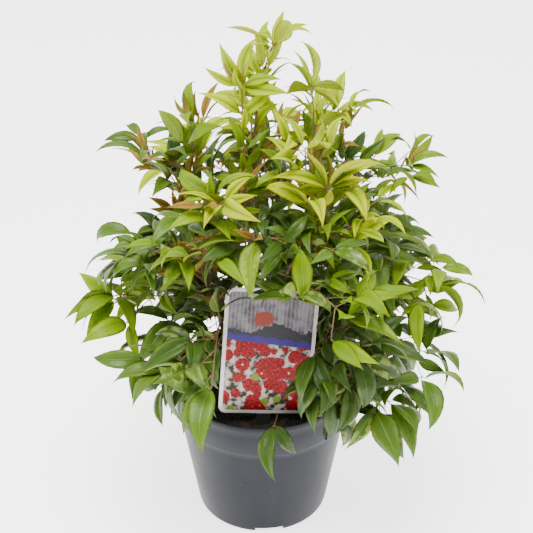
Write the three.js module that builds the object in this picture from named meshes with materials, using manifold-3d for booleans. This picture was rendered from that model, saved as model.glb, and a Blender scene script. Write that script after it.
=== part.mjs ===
// A young heavenly bamboo (Nandina domestica) in a round nursery pot, with its plant label.
// Seven upright canes rise from the compost. Each carries compound leaves, called sprays here: a stalk that
// arches out from the cane, pairs of side stalks along it, and pointed leaflets at every joint.
// The longest stalks are boughs of their own, which end where they enter their spray.
// Millimetres, +Z up, origin under the middle of the pot, -Y is the label's side.
import * as THREE from "three";
import { mergeVertices } from "three/addons/utils/BufferGeometryUtils.js";
import Module from "manifold-3d";

const wasm = await Module();
wasm.setup();

// ---- Driving dimensions ----
const POT = {
  height: 133,
  wall: 1.6,
  rimRadius: 80,
  bandHeight: 31, // the upright band under the rim
  bandFootRadius: 77.8,
  ledge: 3, // height of the slope that leads in under the band
  shoulderRadius: 74.6, // just under the band
  footRadius: 58.4,
  floorRise: 4, // the floor stands this far off the ground between the foot and the middle pad
  floorThickness: 1.6,
  padRadius: 20,
  footWidth: 7,
  sides: 36,
};
const NOTCH = { count: 4, width: 25, depth: 17, height: 4, firstAzimuth: -84 };
const DRAIN = { count: 6, radius: 5, ring: 36, sides: 8 };
const LUG = { width: 20, height: 25, depth: 2.4, proud: 1.4, azimuths: [-38, 142] };
const COMPOST = { top: 121, plateau: 62, edgeDrop: 3 };
const CLEAR = 0.35; // between two pieces that touch
const FINEST = 0.02; // corners of a joined skin may move by this much where that saves faces

const LABEL = {
  width: 78,
  height: 118,
  corner: 7,
  thickness: 0.9,
  bottom: [1, -55, 131],
  leanBack: 7,
  turn: 6,
  roll: 4.8,
  stakeWidth: 12,
  stakeLength: 58,
};

const CANE = {
  count: 7,
  sides: 6,
  steps: 6,
  baseRadius: 3.1,
  tipRadius: 1.7,
  flare: 1.4, // added at the foot, gone one step up
  innerRing: 6,
  outerRing: 34,
  tallest: 252, // above the compost
  shortest: 140,
  innerLean: 3,
  outerLean: 15,
  firstAzimuth: 115,
  goldenAngle: 137.508,
};

const CROWN = {
  top: 462,
  waist: 186, // height of the widest part
  skirt: 92, // lowest tips, outside the pot
  radius: 172,
  offset: [5, 0],
};
const SPRAY = {
  count: 38,
  tried: 120,
  levelStep: 0.7548777, // the two steps of an even scatter
  turnStep: 0.5698403,
  firstLevel: 0.8, // 1 is the crown's top, 0 its waist, -1 its skirt
  lastLevel: -0.3,
  levelPower: 0.62,
  apart: 50, // between the last joints of two sprays
  reachBack: 36, // from a spray's last joint to its leaf tips
  tipDrop: 18,
  stalkRadius: 1.25,
  tipRadius: 0.75,
  sideRadius: 0.7,
  rootRadius: 0.45, // where a side stalk stands on the axis of its stalk
  sides: 3,
  steps: 4,
  waySides: 6,
  clearance: 1, // between two stalks, unless a spray has its own
  nodes: [0.25, 0.75],
  youngLevel: 0.62, // above it a spray's side leaflets stand on the stalk itself
  offers: 14, // places on the canes that are tried for a spray
  lifts: [0.75, 0.5, 0.25, 0],
};
const LEAFLET = {
  longest: 47,
  shortest: 31,
  width: 0.42,
  thickness: 1.1,
  sunk: 0.5, // how far the end leaflet's base lies inside its twig
  stalk: 2.5,
  widestAt: 0.42,
  spacing: 2.4,
  margin: 0.45,
  lowDroop: 52,
  highDroop: 14,
};
const BOUGH = { count: 12, share: 0.42, radius: 1.7, endRadius: 1.35, sides: 4, steps: 3 };
// The sprays that give this plant its own outline, by where their last joint stands: azimuth, reach, height.
const MARKED_SPRAYS = [
  [-84, 90, 144, { joint: 126, knee: 117.5, nodes: [], clearance: 0.4 }], // trails over the rim
  [-20, 10, 447], // the top shoot
  [207, 18, 415],
  [25, 44, 402],
  [171, 56, 377],
  [-52, 54, 378],
  [176, 94, 346],
  [4, 118, 336, { size: 0.3 }], // the long thin one to the right
  [-47, 75, 350],
  [-116, 70, 340],
  [-30, 92, 316],
  [-94, 80, 318], // over the label's top edge
  [-70, 86, 312],
  [-128, 92, 300],
  [-3, 98, 276],
  [-46, 112, 205], // beside the label's lower corner
  [-126, 84, 186],
  [-133, 112, 196],
  [-50, 110, 182],
  [-14, 142, 180],
  [-31, 124, 150],
  [-2, 148, 228],
  [184, 124, 216],
];
// The card stays in view from the front and above: nothing grows in the way, but for its lower right corner.
const VIEW = {
  rise: 32,
  depth: 150,
  outline: [
    [-36, -48],
    [8, -48],
    [10, -12],
    [36, 2],
    [36, 38],
    [-36, 38],
  ],
};

const COLOURS = {
  pot: 0x5f6066,
  compost: 0x2c1f17,
  label: 0xe6dfe0,
  cane: 0x6b5a3a,
  bough: 0x7d8a3c,
  lime: 0xb4c832,
  fresh: 0x6f9f22,
  deep: 0x3d6b1e,
};

// ---- Small helpers ----
const rad = THREE.MathUtils.degToRad;
const mix = THREE.MathUtils.lerp;
const clamp = THREE.MathUtils.clamp;
const UP = new THREE.Vector3(0, 0, 1);
const vec = (x, y, z) => new THREE.Vector3(x, y, z);
const polar = (radius, azimuth, z) =>
  vec(radius * Math.cos(rad(azimuth)), radius * Math.sin(rad(azimuth)), z);

// The same number from 0 to 1 for the same keys, so that each draw stands by itself.
function draw(...keys) {
  let h = 2166136261;
  for (const k of keys) {
    h = Math.imul(h ^ (k + 374761393), 16777619);
    h = Math.imul(h ^ (h >>> 15), 2246822519);
  }
  return ((h ^ (h >>> 13)) >>> 0) / 4294967296;
}
const spread = (middle, half, ...keys) => middle + half * (2 * draw(...keys) - 1);

// A closed three.js geometry as a solid that manifold-3d can join and cut.
function solid(geometry) {
  const bare = geometry.index ? geometry.toNonIndexed() : geometry.clone();
  bare.deleteAttribute("normal");
  bare.deleteAttribute("uv");
  const merged = mergeVertices(bare, 1e-4);
  const index = merged.index.array;
  const triVerts = [];
  for (let i = 0; i < index.length; i += 3) {
    const [a, b, c] = index.slice(i, i + 3);
    if (a !== b && b !== c && c !== a) triVerts.push(a, b, c);
  }
  return new wasm.Manifold(
    new wasm.Mesh({
      numProp: 3,
      vertProperties: merged.attributes.position.array,
      triVerts: new Uint32Array(triVerts),
    }),
  );
}

// Joins solids, keeps the one outer skin, and so drops loose scraps and fills sealed hollows.
function fuse(solids) {
  const joined = solids.reduce((all, one) => all.add(one));
  const whole = joined.decompose().reduce((a, b) => (b.volume() > a.volume() ? b : a));
  return whole.simplify(FINEST);
}

const numbered = (name, i) => `${name}_${String(i + 1).padStart(2, "0")}`;

function meshOf(name, made, colour, roughness) {
  const { vertProperties, triVerts } = made.getMesh();
  const geometry = new THREE.BufferGeometry();
  geometry.setAttribute("position", new THREE.BufferAttribute(vertProperties, 3));
  geometry.setIndex(new THREE.BufferAttribute(triVerts, 1));
  geometry.computeVertexNormals();
  const material = new THREE.MeshStandardMaterial({ color: colour, roughness, metalness: 0 });
  const mesh = new THREE.Mesh(geometry, material);
  mesh.name = name;
  return mesh;
}

// Turns a profile of [radius, height] pairs about the Z axis.
function turned(profile, sides) {
  const points = profile.map(([r, z]) => new THREE.Vector2(r, z));
  return new THREE.LatheGeometry(points, sides).rotateX(Math.PI / 2);
}

// A round limb along a curve: a cylinder whose rings are moved onto the curve, at a radius from a function.
function limb(curve, radiusAt, sides, steps) {
  const geometry = new THREE.CylinderGeometry(1, 1, 1, sides, steps);
  const position = geometry.attributes.position;
  for (let i = 0; i < position.count; i++) {
    const along = clamp(position.getY(i) + 0.5, 0, 1);
    const { at, side, normal } = frameOn(curve, along);
    const radius = radiusAt(along);
    at.addScaledVector(side, position.getX(i) * radius);
    at.addScaledVector(normal, position.getZ(i) * radius);
    position.setXYZ(i, at.x, at.y, at.z);
  }
  return solid(geometry);
}

// A point on a curve with its tangent, a level side vector and the upper normal.
function frameOn(curve, along) {
  const at = curve.getPoint(along);
  const tangent = curve.getTangent(along);
  const level = Math.hypot(tangent.x, tangent.y) > 0.05 ? UP : vec(-1, 0, 0);
  const side = tangent.clone().cross(level).normalize();
  const normal = side.clone().cross(tangent).normalize();
  return { at, tangent, side, normal };
}

// ---- Pot, compost and label ----
function potInnerRadius(z) {
  const band = POT.height - POT.bandHeight;
  const outer =
    z > band
      ? mix(POT.bandFootRadius, POT.rimRadius, (z - band) / POT.bandHeight)
      : mix(POT.footRadius, POT.shoulderRadius, z / (band - POT.ledge));
  return outer - POT.wall;
}

function buildPot() {
  const band = POT.height - POT.bandHeight;
  const floorTop = POT.floorRise + POT.floorThickness;
  const footInner = POT.footRadius - POT.footWidth;
  const profile = [
    [0, 0],
    [POT.padRadius, 0],
    [POT.padRadius + 2, POT.floorRise],
    [footInner - 2, POT.floorRise],
    [footInner, 0],
    [POT.footRadius - 1, 0],
    [POT.footRadius, 1.2],
    [POT.shoulderRadius, band - POT.ledge],
    [POT.bandFootRadius, band],
    [POT.rimRadius, POT.height - 1],
    [POT.rimRadius - 0.4, POT.height],
    [POT.rimRadius - POT.wall, POT.height],
    [POT.bandFootRadius - POT.wall, band],
    [POT.shoulderRadius - POT.wall, band - POT.ledge],
    [potInnerRadius(floorTop), floorTop],
    [0, floorTop],
  ];
  let pot = solid(turned(profile, POT.sides));
  for (const azimuth of LUG.azimuths) {
    const middle = POT.height - POT.bandHeight / 2;
    const radius = (POT.bandFootRadius + POT.rimRadius) / 2 + LUG.proud - LUG.depth / 2;
    const lug = new THREE.BoxGeometry(LUG.depth, LUG.width, LUG.height);
    lug.translate(radius, 0, middle).rotateZ(rad(azimuth));
    pot = pot.add(solid(lug));
  }
  for (let i = 0; i < NOTCH.count; i++) {
    const notch = new THREE.BoxGeometry(NOTCH.depth, NOTCH.width, NOTCH.height * 2);
    notch.translate(POT.footRadius, 0, 0);
    notch.rotateZ(rad(NOTCH.firstAzimuth + (360 * i) / NOTCH.count));
    pot = pot.subtract(solid(notch));
  }
  for (let i = 0; i < DRAIN.count; i++) {
    const hole = new THREE.CylinderGeometry(DRAIN.radius, DRAIN.radius, 20, DRAIN.sides);
    hole.rotateX(Math.PI / 2).translate(DRAIN.ring, 0, 0);
    hole.rotateZ(rad((360 * (i + 0.5)) / DRAIN.count));
    pot = pot.subtract(solid(hole));
  }
  return pot;
}

function buildCompost(slot) {
  const bottom = POT.floorRise + POT.floorThickness + CLEAR;
  const band = POT.height - POT.bandHeight;
  const edge = COMPOST.top - COMPOST.edgeDrop;
  const profile = [
    [0, bottom],
    [potInnerRadius(bottom) - CLEAR, bottom],
    [potInnerRadius(band - POT.ledge) - CLEAR, band - POT.ledge],
    [potInnerRadius(band + 0.01) - CLEAR, band],
    [potInnerRadius(edge) - CLEAR, edge],
    [COMPOST.plateau, COMPOST.top],
    [0, COMPOST.top],
  ];
  return solid(turned(profile, POT.sides)).subtract(slot);
}

// The card and the stake under it in one outline, grown by a margin where it is the slot for the stake.
function labelOutline(margin) {
  const half = LABEL.width / 2;
  const stake = LABEL.stakeWidth / 2 + margin;
  const { corner, height } = LABEL;
  const shape = new THREE.Shape();
  shape.moveTo(-stake, 0);
  shape.lineTo(0, -LABEL.stakeLength - margin * 3);
  shape.lineTo(stake, 0);
  if (margin === 0) {
    shape.lineTo(half - corner, 0);
    shape.absarc(half - corner, corner, corner, -Math.PI / 2, 0);
    shape.absarc(half - corner, height - corner, corner, 0, Math.PI / 2);
    shape.absarc(corner - half, height - corner, corner, Math.PI / 2, Math.PI);
    shape.absarc(corner - half, corner, corner, Math.PI, 1.5 * Math.PI);
  }
  shape.closePath();
  return shape;
}

function buildLabel(margin) {
  const depth = LABEL.thickness + 2 * margin;
  const settings = { depth, bevelEnabled: false, curveSegments: 4, steps: 1 };
  const card = new THREE.ExtrudeGeometry(labelOutline(margin), settings);
  card.translate(0, 0, -depth / 2);
  card.rotateZ(rad(-LABEL.roll)).rotateX(rad(90 - LABEL.leanBack)).rotateZ(rad(LABEL.turn));
  card.translate(...LABEL.bottom);
  return solid(card);
}

// ---- Canes ----
function planCanes() {
  const canes = [];
  for (let i = 0; i < CANE.count; i++) {
    const outward = Math.sqrt(i / (CANE.count - 1));
    const azimuth = CANE.firstAzimuth + i * CANE.goldenAngle;
    const ring = mix(CANE.innerRing, CANE.outerRing, outward);
    const height = mix(CANE.tallest, CANE.shortest, outward) + spread(0, 14, i, 1);
    const lean = mix(CANE.innerLean, CANE.outerLean, outward);
    const foot = polar(ring, azimuth, COMPOST.top + CLEAR);
    const tip = polar(ring + height * Math.tan(rad(lean)), azimuth, foot.z + height);
    for (const point of [foot, tip]) point.y *= point.y < 0 ? 0.45 : 1; // room for the label
    const knee = vec(foot.x, foot.y, foot.z + height * 0.4);
    const curve = new THREE.QuadraticBezierCurve3(foot, knee, tip);
    const radiusAt = (u) =>
      mix(CANE.baseRadius, CANE.tipRadius, u) + CANE.flare * Math.max(0, 1 - u * CANE.steps);
    canes.push({ curve, radiusAt, foot, tip, bearing: 0 });
  }
  return canes;
}

// The point of a cane at a height, found along its curve.
function onCane(cane, z) {
  let low = 0;
  let high = 1;
  for (let i = 0; i < 30; i++) {
    const middle = (low + high) / 2;
    if (cane.curve.getPoint(middle).z < z) low = middle;
    else high = middle;
  }
  return { at: cane.curve.getPoint(low), radius: cane.radiusAt(low) };
}

// ---- Sprays ----
// Where the crown's skin stands at a level, as [radius, height].
function crownAt(level) {
  if (level > 0) {
    const radius = CROWN.radius * (1 - level * level);
    return [radius, mix(CROWN.waist, CROWN.top, level)];
  }
  const radius = CROWN.radius * (1 - 0.22 * level * level);
  return [radius, mix(CROWN.waist, CROWN.skirt, -level)];
}

// The space in front of the card that stays free.
function buildView() {
  const shape = new THREE.Shape(VIEW.outline.map(([x, y]) => new THREE.Vector2(x, y)));
  const view = new THREE.ExtrudeGeometry(shape, { depth: VIEW.depth, bevelEnabled: false });
  view.translate(0, 0, 1).rotateX(rad(90 - VIEW.rise));
  const middle = vec(0, LABEL.height / 2, 0);
  middle.applyAxisAngle(vec(0, 0, 1), rad(-LABEL.roll));
  middle.applyAxisAngle(vec(1, 0, 0), rad(90 - LABEL.leanBack));
  middle.applyAxisAngle(vec(0, 0, 1), rad(LABEL.turn));
  return solid(view.translate(...middle.add(vec(...LABEL.bottom))));
}

// What follows from where a spray's last joint stands.
function describe(end, seed, extra = {}) {
  const height = end.z - SPRAY.tipDrop;
  const half = height > CROWN.waist ? CROWN.top - CROWN.waist : CROWN.waist - CROWN.skirt;
  const level = (height - CROWN.waist) / half;
  const joint = end.z - mix(8, 95, clamp((level + 0.3) / 1.2, 0, 1));
  const size = clamp(1 - 0.75 * Math.max(0, level), 0, 1);
  return { end, seed, level, joint, size, nodes: SPRAY.nodes, ...extra };
}

function planSprays(canes) {
  const sprays = MARKED_SPRAYS.map(([azimuth, reach, height, extra], i) =>
    describe(polar(reach, azimuth, height), 900 + i, extra),
  ).filter((spray) => hang(canes, spray));
  for (let i = 0; i < SPRAY.tried && sprays.length < SPRAY.count; i++) {
    const share = Math.pow((i * SPRAY.levelStep) % 1, SPRAY.levelPower);
    const level = mix(SPRAY.firstLevel, SPRAY.lastLevel, share);
    const [radius, height] = crownAt(level);
    const reach = Math.max(6, radius * spread(0.97, 0.07, i, 2) - SPRAY.reachBack);
    const end = polar(reach, 360 * i * SPRAY.turnStep, height + SPRAY.tipDrop);
    end.x += CROWN.offset[0];
    if (sprays.some((other) => other.end.distanceTo(end) < SPRAY.apart)) continue;
    const spray = describe(end, i);
    if (hang(canes, spray)) sprays.push(spray);
  }
  return sprays;
}

// Hangs a spray on the cane that suits it best and leaves its way free, and gives it its arching stalk.
function hang(canes, spray) {
  const offers = [];
  for (const cane of canes) {
    for (const shift of [0, 14, -14, 28]) {
      const wanted = spray.joint + shift;
      const joint = onCane(cane, clamp(wanted, cane.foot.z + 4, cane.tip.z - 4));
      const aside = Math.hypot(spray.end.x - joint.at.x, spray.end.y - joint.at.y);
      const short = Math.max(0, wanted - joint.at.z);
      const cost = aside + 1.3 * short + cane.bearing * 5 + Math.abs(shift) / 2;
      offers.push({ cane, joint, aside, cost });
    }
  }
  offers.sort((a, b) => a.cost - b.cost);
  for (const offer of offers.slice(0, SPRAY.offers)) {
    for (const lift of SPRAY.lifts) {
      Object.assign(spray, { ...offer, lift });
      const wide = BOUGH.radius + (spray.clearance ?? SPRAY.clearance);
      const curve = stalkCurve(spray, BOUGH.radius);
      const made = limb(curve, () => BOUGH.radius, SPRAY.waySides, SPRAY.steps);
      const probe = limb(curve, () => wide, SPRAY.waySides, SPRAY.steps);
      if (!fits(made, probe, spray)) continue;
      stand(made, spray);
      spray.cane.bearing += 1;
      return true;
    }
  }
  return false;
}

// The arching way of a stalk, from close beside its cane to the spray's last joint.
function stalkCurve({ joint, aside, end, lift, knee, nearer = 0 }, radius) {
  const outward = vec(end.x - joint.at.x, end.y - joint.at.y, 0).normalize();
  const bend = joint.at.clone().lerp(end, 0.5);
  const rise = Math.max(0, end.z - joint.at.z) * lift + aside * 0.16 + 4;
  bend.z = knee ?? Math.min(joint.at.z + rise, end.z + 40);
  const steepness = bend.clone().sub(joint.at).normalize().z;
  const away = joint.radius + CLEAR + radius * Math.abs(steepness) - nearer;
  const start = joint.at.clone().addScaledVector(outward, away);
  return new THREE.QuadraticBezierCurve3(start, bend, end);
}

// The part of a quadratic curve from one share of its way to another.
function stretch(curve, from, to) {
  const a = curve.getPoint(from);
  const b = curve.getPoint(to);
  const slope = vec(0, 0, 0)
    .addScaledVector(curve.v1.clone().sub(curve.v0), 2 * (1 - from))
    .addScaledVector(curve.v2.clone().sub(curve.v1), 2 * from);
  return new THREE.QuadraticBezierCurve3(a, a.clone().addScaledVector(slope, (to - from) / 2), b);
}

// Every place in the tree, so that a new twig or leaflet can be tried against what stands already.
const standing = [];
const boxesMeet = (a, b) =>
  [0, 1, 2].every((i) => a.min[i] <= b.max[i] && b.min[i] <= a.max[i]);

function stand(made, spray) {
  standing.push({ made, spray, box: made.boundingBox() });
  return made;
}

// A new piece keeps a margin to its neighbours, may come close to its own spray and cane, and grows out of
// its parent.
function fits(made, withMargin, spray, parent) {
  const box = withMargin.boundingBox();
  return standing.every((other) => {
    if (other.made === parent || !boxesMeet(other.box, box)) return true;
    if (!other.made.intersect(made).isEmpty()) return false;
    const close = other.spray === spray || other.made === spray.cane.made;
    return close || other.made.intersect(withMargin).isEmpty();
  });
}

// A leaflet is a flat four-sided cone: base, tip and two edges lie in a plane, and its apex stands close to
// the base, where a leaflet is thickest. The base lies on the twig's axis. A grown one has a margin round it.
function leaflet({ joint, along, normal, length }, grow) {
  const side = along.clone().cross(normal).normalize();
  const up = side.clone().cross(along).normalize();
  const half = (length * LEAFLET.width) / 2 + grow;
  const geometry = new THREE.ConeGeometry(1, 1, 4);
  const position = geometry.attributes.position;
  for (let i = 0; i < position.count; i++) {
    const [x, y, z] = [position.getX(i), position.getY(i), position.getZ(i)];
    const widest = length * LEAFLET.widestAt;
    const forward = y > 0 ? LEAFLET.stalk : x > 0.5 ? length + grow : x < -0.5 ? 0 : widest;
    const point = joint.clone().addScaledVector(along, forward);
    point.addScaledVector(side, z * half);
    point.addScaledVector(up, y > 0 ? LEAFLET.thickness + grow : -grow);
    position.setXYZ(i, point.x, point.y, point.z);
  }
  return solid(geometry);
}

// Tries a leaflet at its joint, drooping and turning a little more each time until it clears its neighbours.
function growLeaflet(spray, plan, key) {
  for (let attempt = 0; attempt < 7; attempt++) {
    const veer = attempt * (attempt % 2 ? 9 : -9);
    const droop = plan.droop + spread(0, 10, spray.seed, key, 4) + veer;
    const turn = spread(0, 14, spray.seed, key, 5) + veer * 0.7;
    const along = plan.along.clone().applyAxisAngle(plan.normal, rad(turn)).normalize();
    along.addScaledVector(UP, -Math.tan(rad(clamp(droop, -30, 68)))).normalize();
    const lean = vec(plan.joint.x, plan.joint.y, 0).normalize().multiplyScalar(0.5);
    const normal = UP.clone().add(lean).addScaledVector(plan.normal, 0.6);
    normal.applyAxisAngle(along, rad(spread(0, 32, spray.seed, key, 6)));
    const length = plan.length * spread(1, 0.13, spray.seed, key, 7) * (attempt > 4 ? 0.8 : 1);
    const place = { joint: plan.joint, along, normal, length };
    const made = leaflet(place, 0);
    const withMargin = leaflet(place, LEAFLET.margin);
    if (fits(made, withMargin, spray, plan.parent)) {
      spray.solids.push(stand(made, spray));
      return;
    }
  }
}

// Every leaflet of a spray: three at the end of each twig, one straight on and one to each side a little
// lower down, and the single ones along a young spray's stalk.
function growLeaflets(spray) {
  const longest = mix(LEAFLET.shortest, LEAFLET.longest, spray.size);
  const droop = mix(LEAFLET.lowDroop, LEAFLET.highDroop, clamp((spray.level + 0.6) / 1.6, 0, 1));
  const plans = [];
  for (const { curve, made, steps, scale } of spray.twigs) {
    const { at, tangent, normal } = frameOn(curve, 1);
    const back = curve.getPoint(1 - 1 / steps).sub(at).normalize();
    [0, 66, -66].forEach((turn, i) => {
      const along = tangent.clone().applyAxisAngle(normal, rad(turn));
      const joint = at.clone().addScaledVector(back, LEAFLET.sunk + i * LEAFLET.spacing);
      plans.push({ joint, along, normal, parent: made, scale: scale * (turn ? 0.86 : 1) });
    });
  }
  plans.push(...spray.singles);
  plans.forEach((plan, key) => {
    growLeaflet(spray, { ...plan, length: longest * plan.scale, droop }, key);
  });
}

// The stalk of a spray, whole or from the end of its bough on.
function growStalk(spray) {
  const curve = stretch(spray.curve, spray.from, 1);
  const thick = (u) => mix(SPRAY.stalkRadius, SPRAY.tipRadius, u);
  const made = stand(limb(curve, thick, SPRAY.sides, SPRAY.steps), spray);
  spray.solids = [made];
  spray.twigs = [{ curve, made, steps: SPRAY.steps, scale: 1 }];
  spray.singles = [];
}

// A pair of side stalks at each joint of the stalk. A young spray bears single leaflets there instead.
function growTwigs(spray) {
  const { curve: main, made: stalk } = spray.twigs[0];
  const twist = rad(spread(0, 24, spray.seed, 8));
  spray.nodes.forEach((where, node) => {
    for (const hand of [1, -1]) {
      const { at, tangent, side, normal } = frameOn(main, where + (hand * 0.9) / spray.length);
      const way = tangent.clone().multiplyScalar(0.62);
      way.addScaledVector(side, hand * 0.8).addScaledVector(UP, 0.12);
      way.applyAxisAngle(tangent, twist).normalize();
      if (spray.level > SPRAY.youngLevel) {
        spray.singles.push({ joint: at, along: way, normal, parent: stalk, scale: 0.9 });
        continue;
      }
      const length = mix(15, 31, spray.size) * spread(1, 0.25, spray.seed, node, hand, 9);
      const tip = at.clone().addScaledVector(way, length);
      const curve = new THREE.LineCurve3(at, tip);
      const thick = (u) => mix(SPRAY.rootRadius, SPRAY.sideRadius, u);
      const twig = limb(curve, thick, SPRAY.sides, 1);
      const probe = limb(curve, () => SPRAY.sideRadius + LEAFLET.margin, SPRAY.sides, 1);
      if (!fits(twig, probe, spray, stalk)) continue;
      spray.solids.push(stand(twig, spray));
      spray.twigs.push({ curve, made: twig, steps: 1, scale: mix(0.88, 0.95, node) });
    }
  });
}

// ---- The whole plant ----
function buildPlant() {
  const group = new THREE.Group();
  const slot = buildLabel(CLEAR);
  const label = buildLabel(0);
  const pot = buildPot();
  const compost = buildCompost(slot);
  [pot, compost, label, buildView()].forEach((made) => stand(made, null));
  group.add(meshOf("pot", pot, COLOURS.pot, 0.42));
  group.add(meshOf("compost", compost, COLOURS.compost, 0.95));
  group.add(meshOf("label", label, COLOURS.label, 0.35));

  const canes = planCanes();
  canes.forEach((cane, i) => {
    cane.made = stand(limb(cane.curve, cane.radiusAt, CANE.sides, CANE.steps), null);
    group.add(meshOf(`cane_${i + 1}`, cane.made, COLOURS.cane, 0.8));
  });

  const sprays = planSprays(canes);
  standing.splice(0, standing.length, ...standing.filter((other) => !other.spray));
  const lengthOf = (spray) => stalkCurve(spray, BOUGH.radius).getLength();
  const longest = [...sprays].sort((a, b) => lengthOf(b) - lengthOf(a)).slice(0, BOUGH.count);
  for (const spray of sprays) {
    const borne = longest.includes(spray);
    const [radius, sides] = borne ? [BOUGH.radius, BOUGH.sides] : [SPRAY.stalkRadius, SPRAY.sides];
    const loose = limb(stalkCurve(spray, radius), () => radius, sides, SPRAY.steps);
    spray.nearer = loose.minGap(spray.cane.made, 5) - CLEAR;
    spray.curve = stalkCurve(spray, radius);
    spray.length = spray.curve.getLength();
    spray.from = borne ? BOUGH.share + CLEAR / spray.length : 0;
  }
  longest.sort((a, b) => a.seed - b.seed);
  longest.forEach((spray, i) => {
    const radiusAt = (u) => mix(BOUGH.radius, BOUGH.endRadius, u);
    const way = stretch(spray.curve, 0, BOUGH.share);
    const made = stand(limb(way, radiusAt, BOUGH.sides, BOUGH.steps), null);
    group.add(meshOf(numbered("bough", i), made, COLOURS.bough, 0.6));
  });
  for (const spray of sprays) growStalk(spray);
  for (const spray of sprays) growTwigs(spray);
  for (const spray of sprays) growLeaflets(spray);
  sprays.forEach((spray, i) => {
    const colour = spray.size < 0.5 ? COLOURS.lime : spray.size < 0.9 ? COLOURS.fresh : COLOURS.deep;
    group.add(meshOf(numbered("spray", i), fuse(spray.solids), colour, 0.5));
  });
  return group;
}

export default buildPlant();
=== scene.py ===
# %% [markdown]
# # A heavenly bamboo in its nursery pot
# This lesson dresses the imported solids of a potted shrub: a moulded pot, damp compost, a printed label, seven
# canes, and a dome of pointed leaflets on thin stalks. The solids stay the measure of every size and place.

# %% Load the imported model
import itertools
import math

import bmesh
import bpy
import numpy as np
from mathutils import Matrix, Vector, noise
from mathutils.bvhtree import BVHTree


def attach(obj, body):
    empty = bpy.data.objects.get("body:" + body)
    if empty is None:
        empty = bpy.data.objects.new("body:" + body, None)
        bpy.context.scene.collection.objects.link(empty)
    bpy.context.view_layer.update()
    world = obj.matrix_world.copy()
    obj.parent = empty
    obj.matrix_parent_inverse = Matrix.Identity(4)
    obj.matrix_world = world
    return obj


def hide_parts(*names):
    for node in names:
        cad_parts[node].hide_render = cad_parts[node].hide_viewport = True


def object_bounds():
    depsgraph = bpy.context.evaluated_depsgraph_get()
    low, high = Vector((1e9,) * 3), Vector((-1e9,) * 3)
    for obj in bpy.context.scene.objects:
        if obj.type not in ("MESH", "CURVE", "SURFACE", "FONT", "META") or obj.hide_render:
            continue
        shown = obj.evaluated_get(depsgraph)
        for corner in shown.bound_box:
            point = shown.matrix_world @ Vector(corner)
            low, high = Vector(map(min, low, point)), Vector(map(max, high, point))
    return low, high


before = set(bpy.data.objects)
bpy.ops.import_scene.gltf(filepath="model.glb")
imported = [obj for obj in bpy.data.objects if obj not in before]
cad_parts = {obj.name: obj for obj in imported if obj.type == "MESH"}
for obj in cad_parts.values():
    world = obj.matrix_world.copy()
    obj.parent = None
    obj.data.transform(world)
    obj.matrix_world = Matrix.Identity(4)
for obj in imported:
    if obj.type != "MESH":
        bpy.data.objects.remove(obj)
cad_box = [list(corner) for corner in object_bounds()]
MM = 0.001
print("solids:", len(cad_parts), "box in mm:", [[round(v / MM) for v in corner] for corner in cad_box])

# %% [markdown]
# ## Working by operator
# An operator acts on all that is selected, and loading leaves the solids selected. So every step starts with
# nothing selected, and the parts to work on are then picked in code, by where they are.


# %% Small helpers for modelling
def leave_edit_mode():
    if bpy.context.object and bpy.context.object.mode != "OBJECT":
        bpy.ops.object.mode_set(mode="OBJECT")


def select_only(*pieces):
    leave_edit_mode()
    bpy.ops.object.select_all(action="DESELECT")
    for piece in pieces:
        piece.select_set(True)
    bpy.context.view_layer.objects.active = pieces[0] if pieces else None


def added(name):
    """The primitive that an operator has just added, under its own name."""
    piece = bpy.context.object
    piece.name = name
    piece.data.name = name
    return piece


def edit_all():
    """Opens the active piece in edit mode with all of it selected."""
    bpy.ops.object.mode_set(mode="EDIT")
    bpy.ops.mesh.select_all(action="SELECT")


def pick(piece, kind, wanted):
    """In edit mode, selects the faces or the edges of a piece for which wanted says yes."""
    bpy.ops.mesh.select_mode(type={"faces": "FACE", "edges": "EDGE"}[kind])
    bpy.ops.mesh.select_all(action="DESELECT")
    mesh = bmesh.from_edit_mesh(piece.data)
    for part in [part for part in getattr(mesh, kind) if wanted(part)]:
        part.select_set(True)
    bmesh.update_edit_mesh(piece.data)


def middle(part):
    """The middle of an edge or a face."""
    return sum((v.co for v in part.verts), Vector()) / len(part.verts)


def apply_modifier(piece, kind, **settings):
    select_only(piece)
    modifier = piece.modifiers.new(kind.title(), kind)
    for setting, value in settings.items():
        setattr(modifier, setting, value)
    bpy.ops.object.modifier_apply(modifier=modifier.name)


def smooth(piece, degrees):
    """Shades a piece smooth, but for its edges sharper than an angle."""
    select_only(piece)
    bpy.ops.object.shade_smooth_by_angle(angle=math.radians(degrees))


def corners_of(piece):
    """A piece's corners in millimetres."""
    return np.array([v.co[:] for v in piece.data.vertices]) / MM


def settle(piece, slot, finish, *nodes):
    """Puts a piece's place in its mesh, gives it its finish and lets it stand for its solids."""
    select_only(piece)
    bpy.ops.object.transform_apply(location=True, rotation=True, scale=True)
    piece.data.materials.clear()
    piece.data.materials.append(finish)
    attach(piece, "root")
    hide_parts(*nodes)
    size = np.ptp(corners_of(piece), axis=0)
    print(f"{piece.name}: {len(piece.data.polygons)} faces,", [round(float(v), 1) for v in size], "mm")


# %% Small helpers for numbers
def mix(a, b, share):
    return a + (b - a) * share


def clamp(value, low=0.0, high=1.0):
    return max(low, min(high, value))


def polar(radius, azimuth, z=0.0):
    turn = math.radians(azimuth)
    return Vector((radius * math.cos(turn), radius * math.sin(turn), z))


# %% [markdown]
# ## Shader maths as plain sums
# A finish mixes patterns by arithmetic. Wrapping a socket in a small class lets that arithmetic be written as
# Python, such as `1 - ridge * 0.4`, and each sum adds its Math node. Sums on numbers alone add no node.


# %% A wrapped socket
def plug(tree, socket, value):
    if isinstance(value, Wire):
        tree.links.new(value.socket, socket)
    else:
        socket.default_value = value


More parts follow.
